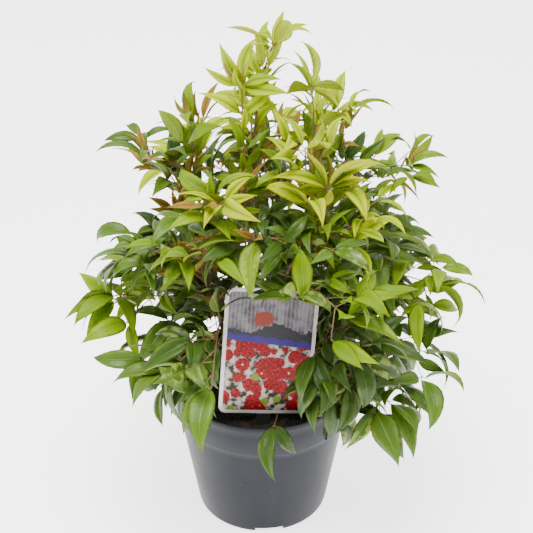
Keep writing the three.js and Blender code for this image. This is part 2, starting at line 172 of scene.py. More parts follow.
def math_node(operation, reflected=False):
    """A method that leads its wire, and another value if there is one, through a Math node."""

    def method(wire, other=0.0):
        node = wire.tree.nodes.new("ShaderNodeMath")
        node.operation = operation
        values = (other, wire) if reflected else (wire, other)
        for socket, value in zip(node.inputs, values):
            plug(wire.tree, socket, value)
        return Wire(wire.tree, node.outputs[0])

    return method


class Wire:
    """A value on its way through a material."""

    def __init__(self, tree, socket):
        self.tree = tree
        self.socket = socket

    __add__ = __radd__ = math_node("ADD")
    __sub__ = math_node("SUBTRACT")
    __rsub__ = math_node("SUBTRACT", reflected=True)
    __mul__ = __rmul__ = math_node("MULTIPLY")
    __pow__ = math_node("POWER")
    __gt__ = math_node("GREATER_THAN")
    __lt__ = math_node("LESS_THAN")
    __abs__ = math_node("ABSOLUTE")
    sine = math_node("SINE")
    least = math_node("MINIMUM")
    most = math_node("MAXIMUM")

    def ramp(self, start, end):
        """0 below start and 1 above end, with a smooth way between them. It falls where end is the lower."""
        node = self.tree.nodes.new("ShaderNodeMapRange")
        node.interpolation_type = "SMOOTHSTEP"
        for socket, value in zip(node.inputs, (self, min(start, end), max(start, end))):
            plug(self.tree, socket, value)
        node.inputs["To Min"].default_value = 0.0 if start < end else 1.0
        node.inputs["To Max"].default_value = 1.0 if start < end else 0.0
        return Wire(self.tree, node.outputs[0])


# %% A finish
class Nodes:
    """The nodes of a material or of the sky, and the shader that they feed."""

    def __init__(self, tree, shader):
        self.tree = tree
        self.shader = tree.nodes[shader]

    def node(self, kind, settings=None, inputs=None, out=0):
        """Adds any node: its settings first, then the values or wires of its sockets."""
        node = self.tree.nodes.new("ShaderNode" + kind)
        for name, value in (settings or {}).items():
            setattr(node, name, value)
        for socket, value in (inputs or {}).items():
            plug(self.tree, node.inputs[socket], value)
        return Wire(self.tree, node.outputs[out])

    def feed(self, **values):
        for name, value in values.items():
            plug(self.tree, self.shader.inputs[name.replace("_", " ")], value)


class Finish(Nodes):
    """A material with one Principled shader and the patterns that feed it."""

    def __init__(self, name, **constants):
        self.material = bpy.data.materials.new(name)
        self.material.use_nodes = True
        super().__init__(self.material.node_tree, "Principled BSDF")
        self.feed(**constants)

    def place(self):
        return self.node("TexCoord", out="Object")

    def chart(self):
        """The across and along values of the piece's own UV map."""
        both = self.node("TexCoord", out="UV")
        return [self.node("SeparateXYZ", inputs={0: both}, out=axis) for axis in (0, 1)]

    def noise(self, scale, detail=3.0, roughness=0.55, stretch=(1, 1, 1)):
        at = self.node("Mapping", inputs={0: self.place(), "Scale": stretch})
        inputs = {"Vector": at, "Scale": scale, "Detail": detail, "Roughness": roughness}
        return self.node("TexNoise", inputs=inputs)

    def cells(self, scale, at=None, out=0):
        return self.node("TexVoronoi", inputs={"Vector": at or self.place(), "Scale": scale}, out=out)

    def mix(self, mask, start, end):
        return self.node("Mix", {"data_type": "RGBA"}, {0: mask, 6: start, 7: end}, 2)

    def bump(self, height, distance):
        """A relief: height runs from 0 to 1 and distance is its depth in metres."""
        self.feed(Normal=self.node("Bump", inputs={"Height": height, "Distance": distance}))


def tone(red, green, blue):
    return (red, green, blue, 1.0)


# %% [markdown]
# ## The pot's plastic
# A nursery pot is grey polypropylene with a satin skin. Fine grain from the mould gives the soft gloss,
# faint streaks run down the wall, and pale specks are grit and dried drops. The streaks are noise stretched
# along Z, because a pattern on the object's own place needs no unwrapping.


# %% The pot's finish
def pot_finish():
    finish = Finish("satin_grey_plastic", Specular_IOR_Level=0.13)
    cloud = finish.noise(18, 4).ramp(0.35, 0.7)
    streaks = finish.noise(60, 3, stretch=(1, 1, 0.12)).ramp(0.4, 0.75)
    grain = finish.noise(2600, 2)
    specks = finish.cells(150).ramp(0.055, 0.03) * (finish.noise(25) > 0.52)
    grey = finish.mix(cloud * 0.5 + streaks * 0.3, tone(0.009, 0.01, 0.015), tone(0.017, 0.018, 0.024))
    finish.feed(Base_Color=finish.mix(specks * 0.5, grey, tone(0.32, 0.32, 0.32)))
    finish.feed(Roughness=0.36 + cloud * 0.08 + specks * 0.2)
    finish.bump(grain * 0.5 + specks, 0.00012)
    return finish.material


# %% [markdown]
# ## The pot
# The wall is one closed shell. A disc is extruded upwards ring by ring, each ring scaled to the wall's radius
# there, then over the rim and down the inside to the floor. That is how a lathe would be copied by hand, and
# it keeps every ring an even circle. The underside is inset and pushed in, so the pot stands on its foot and
# its pad.

# %% The pot's sizes, in millimetres and degrees
POT_HEIGHT = 133.0
WALL = 1.6
RIM_RADIUS = 80.0
LIP_Z = 128.2  # foot of the lip at the rim
BAND_Z = 102.0  # foot of the upright band under the rim
BAND_FOOT_RADIUS = 77.8
SHOULDER_Z = 99.0
SHOULDER_RADIUS = 74.6
FOOT_RADIUS = 58.4
FOOT_ROUND = 1.0
FOOT_WIDTH = 7.0
FLOOR_RISE = 4.0
FLOOR_TOP = 5.6
FLOOR_SLOPE = 1.5  # width of the slopes from the foot and from the pad up to the floor
PAD_RADIUS = 20.0
SIDES = 96
LUG_AZIMUTHS = (-38, 142)
LUG_WIDTH = 20.0
LUG_DEPTH = 1.1
LUG_TOP = 127.5
NOTCH_AZIMUTHS = (-84, 6, 96, 186)
NOTCH_CUTTER = (17, 25, 8)
DRAIN_COUNT = 6
DRAIN_RADIUS = 5.0
DRAIN_RING = 36.0
DRAIN_CUTTER_LENGTH = 20.0


# %% Raise the wall
def wall_radius(z):
    """Outer radius of the wall under the band."""
    return FOOT_RADIUS + (SHOULDER_RADIUS - FOOT_RADIUS) * z / SHOULDER_Z


def next_ring(now, then):
    """Extrudes the selected disc from one (radius, height) to the next."""
    step = (0, 0, (then[1] - now[1]) * MM)
    bpy.ops.mesh.extrude_region_move(TRANSFORM_OT_translate={"value": step})
    scale = then[0] / now[0]
    bpy.ops.transform.resize(value=(scale, scale, 1), center_override=(0, 0, then[1] * MM))


def make_shell():
    outside = [
        (FOOT_RADIUS - FOOT_ROUND, 0),
        (FOOT_RADIUS - 0.3, 0.35),
        (FOOT_RADIUS, 1.2),
        *((wall_radius(z), z) for z in (4, 50, 94)),
        (SHOULDER_RADIUS - 0.25, SHOULDER_Z - 0.6),
        (SHOULDER_RADIUS + 0.6, SHOULDER_Z + 0.5),
        (BAND_FOOT_RADIUS - 0.7, BAND_Z - 0.4),
        (BAND_FOOT_RADIUS, BAND_Z + 0.7),
        (RIM_RADIUS - 0.9, BAND_Z + 18),
        (RIM_RADIUS - 0.35, LIP_Z - 0.6),
        (RIM_RADIUS, LIP_Z),
        (RIM_RADIUS, POT_HEIGHT - 0.9),
        (RIM_RADIUS - 0.35, POT_HEIGHT - 0.15),
        (RIM_RADIUS - 0.8, POT_HEIGHT),
    ]
    inside = [
        (RIM_RADIUS - 1.3, POT_HEIGHT - 0.15),
        (RIM_RADIUS - WALL, POT_HEIGHT - 0.9),
        (BAND_FOOT_RADIUS - WALL, BAND_Z),
        (SHOULDER_RADIUS - WALL, SHOULDER_Z),
        (wall_radius(FLOOR_TOP) - WALL, FLOOR_TOP),
    ]
    rings = outside + inside
    select_only()
    bpy.ops.mesh.primitive_circle_add(vertices=SIDES, radius=rings[0][0] * MM, fill_type="NGON")
    shell = added("nursery_pot")
    edit_all()
    for now, then in zip(rings, rings[1:]):
        next_ring(now, then)
    return shell


def sink_underside(shell):
    """Insets the bottom face from the foot to the pad, and pushes the floor between them up."""
    pick(shell, "faces", lambda face: face.calc_area() > 1e-3 and middle(face).z < 1e-5)
    floor_width = FOOT_RADIUS - FOOT_ROUND - FOOT_WIDTH - 2 * FLOOR_SLOPE - PAD_RADIUS
    steps = [(FOOT_WIDTH, 0), (FLOOR_SLOPE, FLOOR_RISE), (floor_width, 0), (FLOOR_SLOPE, -FLOOR_RISE)]
    for inset, rise in steps:
        bpy.ops.mesh.inset(thickness=inset * MM)
        bpy.ops.transform.translate(value=(0, 0, rise * MM))


def raise_lugs(shell):
    """Pushes out a flat pad on the band at each lug's azimuth."""
    half = math.degrees(LUG_WIDTH / 2 / RIM_RADIUS)

    def on_lug(face):
        at = middle(face)
        azimuth = math.degrees(math.atan2(at.y, at.x))
        nearest = min(abs((azimuth - lug + 180) % 360 - 180) for lug in LUG_AZIMUTHS)
        outer = face.normal.dot(Vector((at.x, at.y, 0))) > 0
        return nearest < half and outer and BAND_Z * MM < at.z < LUG_TOP * MM

    pick(shell, "faces", on_lug)
    bpy.ops.mesh.extrude_region_shrink_fatten(TRANSFORM_OT_shrink_fatten={"value": LUG_DEPTH * MM})


pot = make_shell()
sink_underside(pot)
raise_lugs(pot)
leave_edit_mode()


# %% Cut the notches and the drain holes
def cut(piece, cutter):
    apply_modifier(piece, "BOOLEAN", operation="DIFFERENCE", solver="EXACT", object=cutter)
    bpy.data.objects.remove(cutter)


for azimuth in NOTCH_AZIMUTHS:
    where = polar(FOOT_RADIUS, azimuth) * MM
    turn = (0, 0, math.radians(azimuth))
    select_only()
    bpy.ops.mesh.primitive_cube_add(size=MM, location=where, rotation=turn, scale=NOTCH_CUTTER)
    cut(pot, added("notch_cutter"))
for i in range(DRAIN_COUNT):
    where = polar(DRAIN_RING, 360 * (i + 0.5) / DRAIN_COUNT) * MM
    depth = DRAIN_CUTTER_LENGTH * MM
    select_only()
    bpy.ops.mesh.primitive_cylinder_add(vertices=24, radius=DRAIN_RADIUS * MM, depth=depth, location=where)
    cut(pot, added("drain_cutter"))
smooth(pot, 35)
settle(pot, "pot_plastic", pot_finish(), "pot")


# %% [markdown]
# ## The compost
# Potting compost is a damp, dark mix of peat and bark. A round grid is lifted by noise for the crumbly top,
# and loose crumbs and bark chips lie on it. The crumbs are many and small, so they are one mesh built from
# arrays.

# %% The compost's sizes, in millimetres, and its finish
CLEAR = 0.35  # the gap between neighbours that don't touch
COMPOST_TOP = 121.0
COMPOST_EDGE = 118.0
COMPOST_PLATEAU = 62.0
COMPOST_RADIUS = 76.5
COMPOST_INSET = 2.0  # from the pot's outer face
LUMP_DEPTH = 0.9
LUMPS = ((9, 0, 1.1), (3.2, 5, 0.6))  # each layer's width, its place in the noise and its height
SURFACE_RINGS = 26
RING_STEP = 2.8


def compost_finish():
    finish = Finish("damp_compost", Roughness=0.95)
    clumps = finish.noise(220, 6, 0.7)
    fibres = finish.noise(900, 3, stretch=(1, 0.25, 1)).ramp(0.55, 0.75)
    dark = finish.mix(clumps.ramp(0.3, 0.75), tone(0.008, 0.006, 0.005), tone(0.035, 0.022, 0.014))
    finish.feed(Base_Color=finish.mix(fibres * 0.6, dark, tone(0.09, 0.05, 0.025)))
    finish.bump(clumps, 0.002)
    return finish.material


def compost_height(x, y):
    """The compost's lumpy height at a place, in millimetres: a level middle that drops to the wall."""
    edge = clamp((math.hypot(x, y) - COMPOST_PLATEAU) / (COMPOST_RADIUS - COMPOST_PLATEAU))
    lumps = sum(noise.noise(Vector((x, y, layer)) / width) * height for width, layer, height in LUMPS)
    return COMPOST_TOP - LUMP_DEPTH + (COMPOST_EDGE - COMPOST_TOP) * edge + lumps


# %% The compost
def make_compost():
    """A disc is drawn up along the wall, and its top is inset ring by ring and lifted into lumps."""
    low = FLOOR_TOP + CLEAR
    side = [
        (wall_radius(low) - COMPOST_INSET, low),
        (wall_radius(98) - COMPOST_INSET, 98),
        (BAND_FOOT_RADIUS - COMPOST_INSET, BAND_Z),
        (COMPOST_RADIUS - 0.1, COMPOST_EDGE),
    ]
    radius = (wall_radius(low) - WALL - CLEAR) * MM
    where = (0, 0, low * MM)
    select_only()
    bpy.ops.mesh.primitive_circle_add(vertices=SIDES, radius=radius, fill_type="NGON", location=where)
    fill = added("compost_fill")
    bpy.ops.object.transform_apply(location=True)
    edit_all()
    for now, then in zip(side, side[1:]):
        next_ring(now, then)
    for _ in range(SURFACE_RINGS):
        bpy.ops.mesh.inset(thickness=RING_STEP * MM)
    leave_edit_mode()
    for vertex in fill.data.vertices:
        x, y, z = vertex.co / MM
        if z > COMPOST_EDGE - 0.5 and math.hypot(x, y) < COMPOST_RADIUS - 0.5:
            vertex.co.z = compost_height(x, y) * MM
    smooth(fill, 40)
    return fill


# %% Crumbs on top
CRUMB_COUNT = 520
CRUMB_REACH = 74.0
CRUMB_SIZES = (0.7, 2.1)
CRUMB_ROUGHNESS = 0.175
CRUMB_TILT = 0.6  # radians


def joined(name, corners, faces, smoothed=True):
    """One mesh object from a list of corner arrays in millimetres and a list of their face lists."""
    mesh = bpy.data.meshes.new(name)
    starts = np.cumsum([0] + [len(c) for c in corners[:-1]])
    all_faces = [tuple(int(i + start) for i in face) for start, group in zip(starts, faces) for face in group]
    mesh.from_pydata((np.concatenate(corners) * MM).tolist(), [], all_faces)
    mesh.validate()
    mesh.polygons.foreach_set("use_smooth", [smoothed] * len(mesh.polygons))
    piece = bpy.data.objects.new(name, mesh)
    bpy.context.scene.collection.objects.link(piece)
    return piece


def make_crumbs():
    rng = np.random.default_rng(7)
    ball = bmesh.new()
    bmesh.ops.create_icosphere(ball, subdivisions=1, radius=1)
    corners = np.array([v.co[:] for v in ball.verts])
    faces = [[v.index for v in f.verts] for f in ball.faces]
    ball.free()
    crumbs = []
    for _ in range(CRUMB_COUNT):
        radius = CRUMB_REACH * math.sqrt(rng.random())
        turn = rng.random() * math.tau
        x, y = radius * math.cos(turn), radius * math.sin(turn)
        size = rng.uniform(*CRUMB_SIZES) * np.array([1, rng.uniform(0.4, 1), rng.uniform(0.4, 0.8)])
        crumb = corners * (1 + CRUMB_ROUGHNESS * rng.standard_normal((len(corners), 1))) * size
        yaw = Matrix.Rotation(rng.random() * math.tau, 3, "Z")
        tilt = Matrix.Rotation(rng.uniform(-CRUMB_TILT, CRUMB_TILT), 3, "X")
        crumbs.append(crumb @ np.array(yaw @ tilt).T + [x, y, compost_height(x, y) + 0.3])
    return joined("compost_crumbs", crumbs, [faces] * CRUMB_COUNT, smoothed=False)


damp = compost_finish()
settle(make_compost(), "compost", damp, "compost")
settle(make_crumbs(), "compost", damp)


# %% [markdown]
# ## The plant label
# The label is a printed polypropylene card on a pointed stake. A plane gets round corners by a vertex bevel,
# its bottom edge is cut where the stake starts, and that stretch is extruded down to the point. Solidify
# gives it its thickness. The card keeps its flat coordinates as a UV map, so that the print stays on it
# wherever it stands.

# %% The label's sizes, in millimetres and degrees
CARD_WIDTH = 78.0
CARD_HEIGHT = 118.0
CARD_CORNER = 7.0
CARD_THICKNESS = 0.9
CARD_EDGE = 0.15
CARD_BORDER = 3.2
STAKE_WIDTH = 12.0
STAKE_LENGTH = 58.0
STAKE_POINT = 14.0
CARD_LEAN = 7.0
CARD_TURN = 6.0
CARD_ROLL = 4.8
LABEL_SLOT = Vector((1, -55, 131))
BLANK_PLACE = (-3, 0)  # the place on the chart for the card's back, outside the print


def card_place():
    """Where the card's own plane stands: x across, z up, and y through it."""
    roll = Matrix.Rotation(math.radians(CARD_ROLL), 4, "Y")
    lean = Matrix.Rotation(math.radians(-CARD_LEAN), 4, "X")
    turn = Matrix.Rotation(math.radians(CARD_TURN), 4, "Z")
    return Matrix.Translation(LABEL_SLOT * MM) @ turn @ lean @ roll


# %% The card
def chart_print(card):
    """Lays the print's chart over the flat card and its stake."""
    chart = card.data.uv_layers[0]
    for loop in card.data.loops:
        at = card.data.vertices[loop.vertex_index].co / MM
        chart.data[loop.index].uv = (at.x / CARD_WIDTH + 0.5, at.z / CARD_HEIGHT)


def blank_back(card):
    chart = card.data.uv_layers[0]
    for face in card.data.polygons:
        if face.normal.y > 0.5:
            for loop in face.loop_indices:
                chart.data[loop].uv = BLANK_PLACE


def make_card():
    where = (0, 0, CARD_HEIGHT / 2 * MM)
    select_only()
    bpy.ops.mesh.primitive_plane_add(size=1, location=where, rotation=(math.pi / 2, 0, 0))
    card = added("plant_label")
    card.scale = (CARD_WIDTH * MM, CARD_HEIGHT * MM, 1)
    bpy.ops.object.transform_apply(location=True, rotation=True, scale=True)
    edit_all()
    bpy.ops.mesh.bevel(offset=CARD_CORNER * MM, segments=8, affect="VERTICES")
    for side in (-1, 1):
        bpy.ops.mesh.select_all(action="SELECT")
        bpy.ops.mesh.bisect(plane_co=(side * STAKE_WIDTH / 2 * MM, 0, 0), plane_no=(1, 0, 0))
    pick(card, "edges", lambda e: abs(middle(e).z) < 1e-6 and abs(middle(e).x) < STAKE_WIDTH / 3 * MM)
    for drop, scale in ((STAKE_LENGTH - STAKE_POINT, 0.85), (STAKE_POINT, 0.12)):
        bpy.ops.mesh.extrude_region_move(TRANSFORM_OT_translate={"value": (0, 0, -drop * MM)})
        bpy.ops.transform.resize(value=(scale, 1, 1))
    leave_edit_mode()
    chart_print(card)
    apply_modifier(card, "SOLIDIFY", thickness=CARD_THICKNESS * MM, offset=0)
    apply_modifier(card, "BEVEL", width=CARD_EDGE * MM, segments=2, limit_method="ANGLE")
    blank_back(card)
    smooth(card, 40)
    card.data.transform(card_place())
    return card


# %% The print: rain at dusk over hills, a blue river and a field of red blossoms, in flat shapes
def card_finish():
    finish = Finish("printed_card", Roughness=0.42, Specular_IOR_Level=0.12)
    finish.feed(Coat_Weight=0.06, Coat_Roughness=0.2)
    across, up = finish.chart()
    x = (across - 0.5) * CARD_WIDTH
    y = (up - 0.5) * CARD_HEIGHT
    corner = CARD_CORNER - CARD_BORDER
    over_x = (abs(x) - (CARD_WIDTH / 2 - CARD_BORDER - corner)).most(0)
    over_y = (abs(y) - (CARD_HEIGHT / 2 - CARD_BORDER - corner)).most(0)
    inside = ((over_x * over_x + over_y * over_y) ** 0.5).ramp(corner + 0.15, corner - 0.15)
    at = finish.node("CombineXYZ", inputs={0: x, 1: y})

    def cloud(scale):
        return finish.node("TexNoise", inputs={"Vector": at, "Scale": scale, "Detail": 4.0})

    dusk = finish.mix(cloud(0.09).ramp(0.35, 0.65), tone(0.26, 0.24, 0.26), tone(0.09, 0.08, 0.1))
    rain = finish.mix((x * 1.9 + cloud(0.2) * 4).sine().ramp(0.2, 1) * 0.35, dusk, tone(0.42, 0.39, 0.41))
    sun = ((x + 6) ** 2 + (y - 31) ** 2 * 1.6) ** 0.5 + cloud(0.4) * 9
    glow = finish.mix(cloud(0.9), tone(0.07, 0.06, 0.03), tone(0.5, 0.05, 0.04))
    scene = finish.mix(sun.ramp(14, 12.5), rain, glow)
    hills = (y - 15 - (x * 0.13 + 1).sine() * 4 - cloud(0.22) * 15).ramp(0.6, -0.6)
    slate = finish.mix(cloud(0.5), tone(0.012, 0.012, 0.016), tone(0.07, 0.065, 0.08))
    scene = finish.mix(hills, scene, slate)
    river = (abs(y - 10 + x * 0.12) - 3.4 - (x * 0.5).sine() * 0.8).ramp(0.3, -0.3)
    scene = finish.mix(river, scene, tone(0.045, 0.03, 0.2))
    field = (y - 7.5 + x * 0.12).ramp(0.3, -0.3)
    petals = finish.cells(0.1, at) + cloud(0.6) * 0.24 - 0.12
    hearts = finish.cells(0.1, at, out="Color")
    which = finish.node("SeparateXYZ", inputs={0: hearts})
    ground = finish.mix(cloud(0.16).ramp(0.4, 0.6), tone(0.02, 0.028, 0.012), tone(0.55, 0.46, 0.43))
    red = finish.mix(cloud(0.5).ramp(0.35, 0.65), tone(0.09, 0.002, 0.004), tone(0.42, 0.008, 0.012))
    meadow = finish.mix(petals.ramp(0.66, 0.6) * (which > 0.18), ground, red)
    green = finish.mix(cloud(0.4), tone(0.04, 0.12, 0.015), tone(0.3, 0.34, 0.03))
    meadow = finish.mix(petals.ramp(0.4, 0.34) * (which < 0.16), meadow, green)
    meadow = finish.mix(petals.ramp(0.12, 0.07) * (which > 0.4), meadow, tone(0.7, 0.5, 0.22))
    scene = finish.mix(field, scene, meadow)
    plastic = finish.mix(up.ramp(0.004, -0.004), tone(0.8, 0.74, 0.72), tone(0.03, 0.03, 0.03))
    finish.feed(Base_Color=finish.mix(inside, plastic, scene))
    finish.bump(finish.noise(1400, 2), 0.00003)
    return finish.material


settle(make_card(), "label_card", card_finish(), "label")


# %% [markdown]
# ## The growth rule
# The shrub is grown, not drawn. Seven canes stand in the compost by the golden angle, and each bears compound
# leaves: a stalk arches out to a place on the crown's skin, with joints along it. The solids were grown by
# this rule, so the same rule and the same seeds, written again here, put every finer twig where its solid is.

# %% The rule's sizes, in millimetres and degrees
UP = Vector((0, 0, 1))
CANE_COUNT = 7
CANE_BASE_RADIUS = 3.1
CANE_TIP_RADIUS = 1.7
CANE_FLARE = 1.4
FIRST_CANE_AZIMUTH = 115
GOLDEN_ANGLE = 137.508
CANE_RINGS = (6, 34)  # from the middle to the innermost cane and to the outermost, as the next two
CANE_HEIGHTS = (252, 140)
CANE_LEANS = (3, 15)
FRONT_SHARE = 0.45  # canes before the middle stand nearer to it, to leave the label its room
CROWN_TOP = 462.0
CROWN_WAIST = 186.0
CROWN_SKIRT = 92.0
CROWN_RADIUS = 172.0
CROWN_SHIFT = 5.0
SPRAY_COUNT = 38
SPRAY_LEVELS = (0.8, -0.3)
SKIN_DEPTH = 36.0  # from the crown's skin in to a spray's last joint
TIP_RISE = 18.0  # from a spray's level up to its last joint
JOINT_DROPS = (8, 95)  # from there down to where the stalk leaves its cane, low in the crown and high up
BOUGH_COUNT = 12
BOUGH_SHARE = 0.42
# Two steps that never fall into rows, so that the sprays spread evenly over the crown's levels and azimuths.
LEVEL_STEP = 0.7548777
AZIMUTH_STEP = 0.5698403 * 360
MOST_CANDIDATES = 120

# %% The sprays that give this plant its own outline
# Each has the azimuth, reach and height of its last joint, its tint, and what else sets it apart. "whorl" is
# the number of leaflets at its tip, "tip" and "hang" are their tint and droop, and "size" and "broad" scale
# its leaflets. "thin" is the share of side stalks that it lacks, and a bare one has none. "joint" and "knee"
# are the heights where the stalk leaves its cane and where it bends.
LOW_SPRAY = {"bare": True, "joint": 126, "knee": 117.5, "whorl": 2, "size": 0.5, "broad": 1.15}
MARKED_SPRAYS = [
    (-84, 90, 144, "deep", LOW_SPRAY),
    (-20, 10, 447, "lime", {}),
    (207, 18, 415, "lime", {}),
    (25, 44, 402, "lime", {}),
    (171, 56, 377, "fresh", {"broad": 1.15}),
    (-52, 54, 378, "lime", {}),
    (176, 94, 346, "leaf", {}),
    (4, 118, 336, "fresh", {"size": 0.3, "whorl": 5, "thin": 0.45}),
    (-47, 75, 350, "gold", {"whorl": 7, "broad": 1.2}),
    (-116, 70, 340, "gold", {"whorl": 5, "broad": 1.1}),
    (-30, 92, 316, "lime", {"whorl": 5}),
    (-94, 80, 318, "deep", {"tip": "fresh", "whorl": 1, "hang": 38}),
    (-70, 86, 312, "leaf", {"tip": "fresh", "whorl": 1, "hang": 42}),
    (-128, 92, 300, "fresh", {}),
    (-3, 98, 276, "leaf", {}),
    (-46, 112, 205, "deep", {}),
    (-126, 84, 186, "deep", {}),
    (-133, 112, 196, "leaf", {}),
    (-50, 110, 182, "deep", {}),
    (-14, 142, 180, "leaf", {}),
    (-31, 124, 150, "leaf", {}),
    (-2, 148, 228, "fresh", {}),
    (184, 124, 216, "fresh", {}),
]
FIRST_MARKED_SEED = 900

# Sprays by number that lack a share of their side stalks, where the crown lets the sky through.
THINNED = {20: 0.35, 30: 0.4, 36: 0.5}


# %% Draws and curves
def draw(*keys):
    """The same number from 0 to 1 for the same keys."""
    h = 2166136261
    for key in keys:
        h = ((h ^ (key + 374761393)) * 16777619) & 0xFFFFFFFF
        h = ((h ^ (h >> 15)) * 2246822519) & 0xFFFFFFFF
    return (h ^ (h >> 13)) / 4294967296


def spread(centre, half, *keys):
    return centre + half * (2 * draw(*keys) - 1)


def turned(vector, axis, degrees):
    return Matrix.Rotation(math.radians(degrees), 3, axis) @ vector


class Arch:
    """A curve that leaves its start towards a bend and comes to its end from there."""

    def __init__(self, start, bend, end):
        self.start = start
        self.bend = bend
        self.end = end

    def point(self, u):
        return (1 - u) ** 2 * self.start + 2 * u * (1 - u) * self.bend + u * u * self.end

    def slope(self, u):
        return 2 * (1 - u) * (self.bend - self.start) + 2 * u * (self.end - self.bend)

    def along(self, u):
        return self.slope(u).normalized()

    def side(self, u):
        """A level vector across the curve."""
        way = self.along(u)
        level = UP if math.hypot(way.x, way.y) > 0.05 else Vector((-1, 0, 0))
        return way.cross(level).normalized()

    def length(self, steps=40):
        points = [self.point(i / steps) for i in range(steps + 1)]
        return sum((b - a).length for a, b in zip(points, points[1:]))

    def rest(self, share):
        """The stretch of the curve from a share of its way to the end."""
        start = self.point(share)
        return Arch(start, start + self.slope(share) * (1 - share) / 2, self.end)


# %% Plan the canes
def plan_canes():
    canes = []
    for i in range(CANE_COUNT):
        outward = math.sqrt(i / (CANE_COUNT - 1))
        azimuth = FIRST_CANE_AZIMUTH + i * GOLDEN_ANGLE
        ring = mix(*CANE_RINGS, outward)
        height = mix(*CANE_HEIGHTS, outward) + spread(0, 14, i, 1)
        lean = mix(*CANE_LEANS, outward)
        foot = polar(ring, azimuth, COMPOST_TOP + CLEAR)
        tip = polar(ring + height * math.tan(math.radians(lean)), azimuth, foot.z + height)
        for point in (foot, tip):
            point.y *= FRONT_SHARE if point.y < 0 else 1
        canes.append(Arch(foot, Vector((foot.x, foot.y, foot.z + height * 0.4)), tip))
    return canes


def cane_radius(u):
    return mix(CANE_BASE_RADIUS, CANE_TIP_RADIUS, u) + CANE_FLARE * max(0, 1 - u * 6)


def on_cane(cane, z):
    """The share of a cane's way at which it stands at a height."""
    low, high = 0.0, 1.0
    for _ in range(30):
        share = (low + high) / 2
        if cane.point(share).z < z:
            low = share
        else:
            high = share
    return low


canes = plan_canes()
print("canes:", [round(cane.length()) for cane in canes], "mm long")


# %% Plan the sprays
def crown_at(level):
    """The radius and height of the crown's skin at a level: 1 is its top, 0 its waist and -1 its foot."""
    if level > 0:
        return CROWN_RADIUS * (1 - level * level), mix(CROWN_WAIST, CROWN_TOP, level)
    return CROWN_RADIUS * (1 - 0.22 * level * level), mix(CROWN_WAIST, CROWN_SKIRT, -level)


def describe(end, seed, tint=None, own=None):
    """What follows from where a spray's last joint stands."""
    height = end.z - TIP_RISE
    half = CROWN_TOP - CROWN_WAIST if height > CROWN_WAIST else CROWN_WAIST - CROWN_SKIRT
    level = (height - CROWN_WAIST) / half
    joint = end.z - mix(*JOINT_DROPS, clamp((level + 0.3) / 1.2))
    size = clamp(1 - 0.75 * max(0, level))
    if tint is None:
        ages = ["deep", "leaf", "leaf", "fresh", "lime"]
        tint = ages[int(clamp(level * 8 + spread(1.3, 0.9, seed, 50), 0, 4.9))]
    plan = {"end": end, "seed": seed, "level": level, "joint": joint, "size": size, "tint": tint}
    return {**plan, **(own or {})}


def candidates():
    """The marked sprays, then more of them, evenly over the crown."""
    for i, (azimuth, reach, height, tint, own) in enumerate(MARKED_SPRAYS):
        yield describe(polar(reach, azimuth, height), FIRST_MARKED_SEED + i, tint, own)
    for i in range(MOST_CANDIDATES):
        share = (i * LEVEL_STEP % 1) ** 0.62
        radius, height = crown_at(mix(*SPRAY_LEVELS, share))
        reach = max(6, radius * spread(0.97, 0.07, i, 2) - SKIN_DEPTH)
        end = polar(reach, i * AZIMUTH_STEP, height + TIP_RISE)
        end.x += CROWN_SHIFT
        yield describe(end, i)


# %% Find each stalk's way
SHIFTS = (0, 14, -14, 28)  # up the cane from where the rule wants the joint
LIFTS = (0.75, 0.5, 0.25, 0)
OUTER_SHARES = (0.6, 0.7, 0.8, 0.9, 1.0)
MOST_STRAY = 1.5


def stalk_path(spray, cane, shift, lift):
    """The arching way of a stalk, from close beside its cane to the spray's last joint."""
    share = on_cane(cane, clamp(spray["joint"] + shift, cane.start.z + 4, cane.end.z - 4))
    at = cane.point(share)
    end = spray["end"]
    outward = Vector((end.x - at.x, end.y - at.y, 0))
    bend = at.lerp(end, 0.5)
    rise = max(0, end.z - at.z) * lift + outward.length * 0.16 + 4
    bend.z = spray.get("knee") or min(at.z + rise, end.z + 40)
    start = at + outward.normalized() * cane_radius(share) * 0.6
    return Arch(start, bend, end)


def skin(node):
    """A solid's faces as a tree that finds the nearest point."""
    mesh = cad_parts[node].data
    return BVHTree.FromPolygons([v.co for v in mesh.vertices], [p.vertices for p in mesh.polygons])


def stray(path, tree):
    """How far the outer half of a path runs from a solid's skin, in millimetres."""
    return sum(tree.find_nearest(path.point(u) * MM)[3] for u in OUTER_SHARES) / len(OUTER_SHARES) / MM


def nearest_path(spray, tree):
    """The stalk closest to a solid, of all that the rule may have tried for a spray."""
    ways = itertools.product(canes, SHIFTS, LIFTS)
    return min((stalk_path(spray, *way) for way in ways), key=lambda path: stray(path, tree))


def plan_sprays():
    """Walks through the rule's candidates in order and keeps each one that a solid follows."""
    sprays = []
    for spray in candidates():
        node = f"spray_{len(sprays) + 1:02d}"
        tree = skin(node)
        path = nearest_path(spray, tree)
        if stray(path, tree) < MOST_STRAY:
            thin = THINNED.get(len(sprays) + 1, spray.get("thin", 0))
            sprays.append({**spray, "node": node, "path": path, "from": 0.0, "thin": thin})
        if len(sprays) == SPRAY_COUNT:
            break
    for spray in sorted(sprays, key=lambda spray: -spray["path"].length())[:BOUGH_COUNT]:
        spray["from"] = BOUGH_SHARE
    return sprays


sprays = plan_sprays()
worst = max(stray(spray["path"], skin(spray["node"])) for spray in sprays)
print("sprays:", len(sprays), "worst stray:", round(worst, 2), "mm")


# %% [markdown]
# ## The canes
# A cane is a woody stem with thin brown bark, ringed where old leaves have dropped. A Bezier curve with a
# round section and a radius at each end gives the stem its taper. Made a mesh, its rings are then swollen at
# the scars and at the foot, and its bark is ridged lengthways.

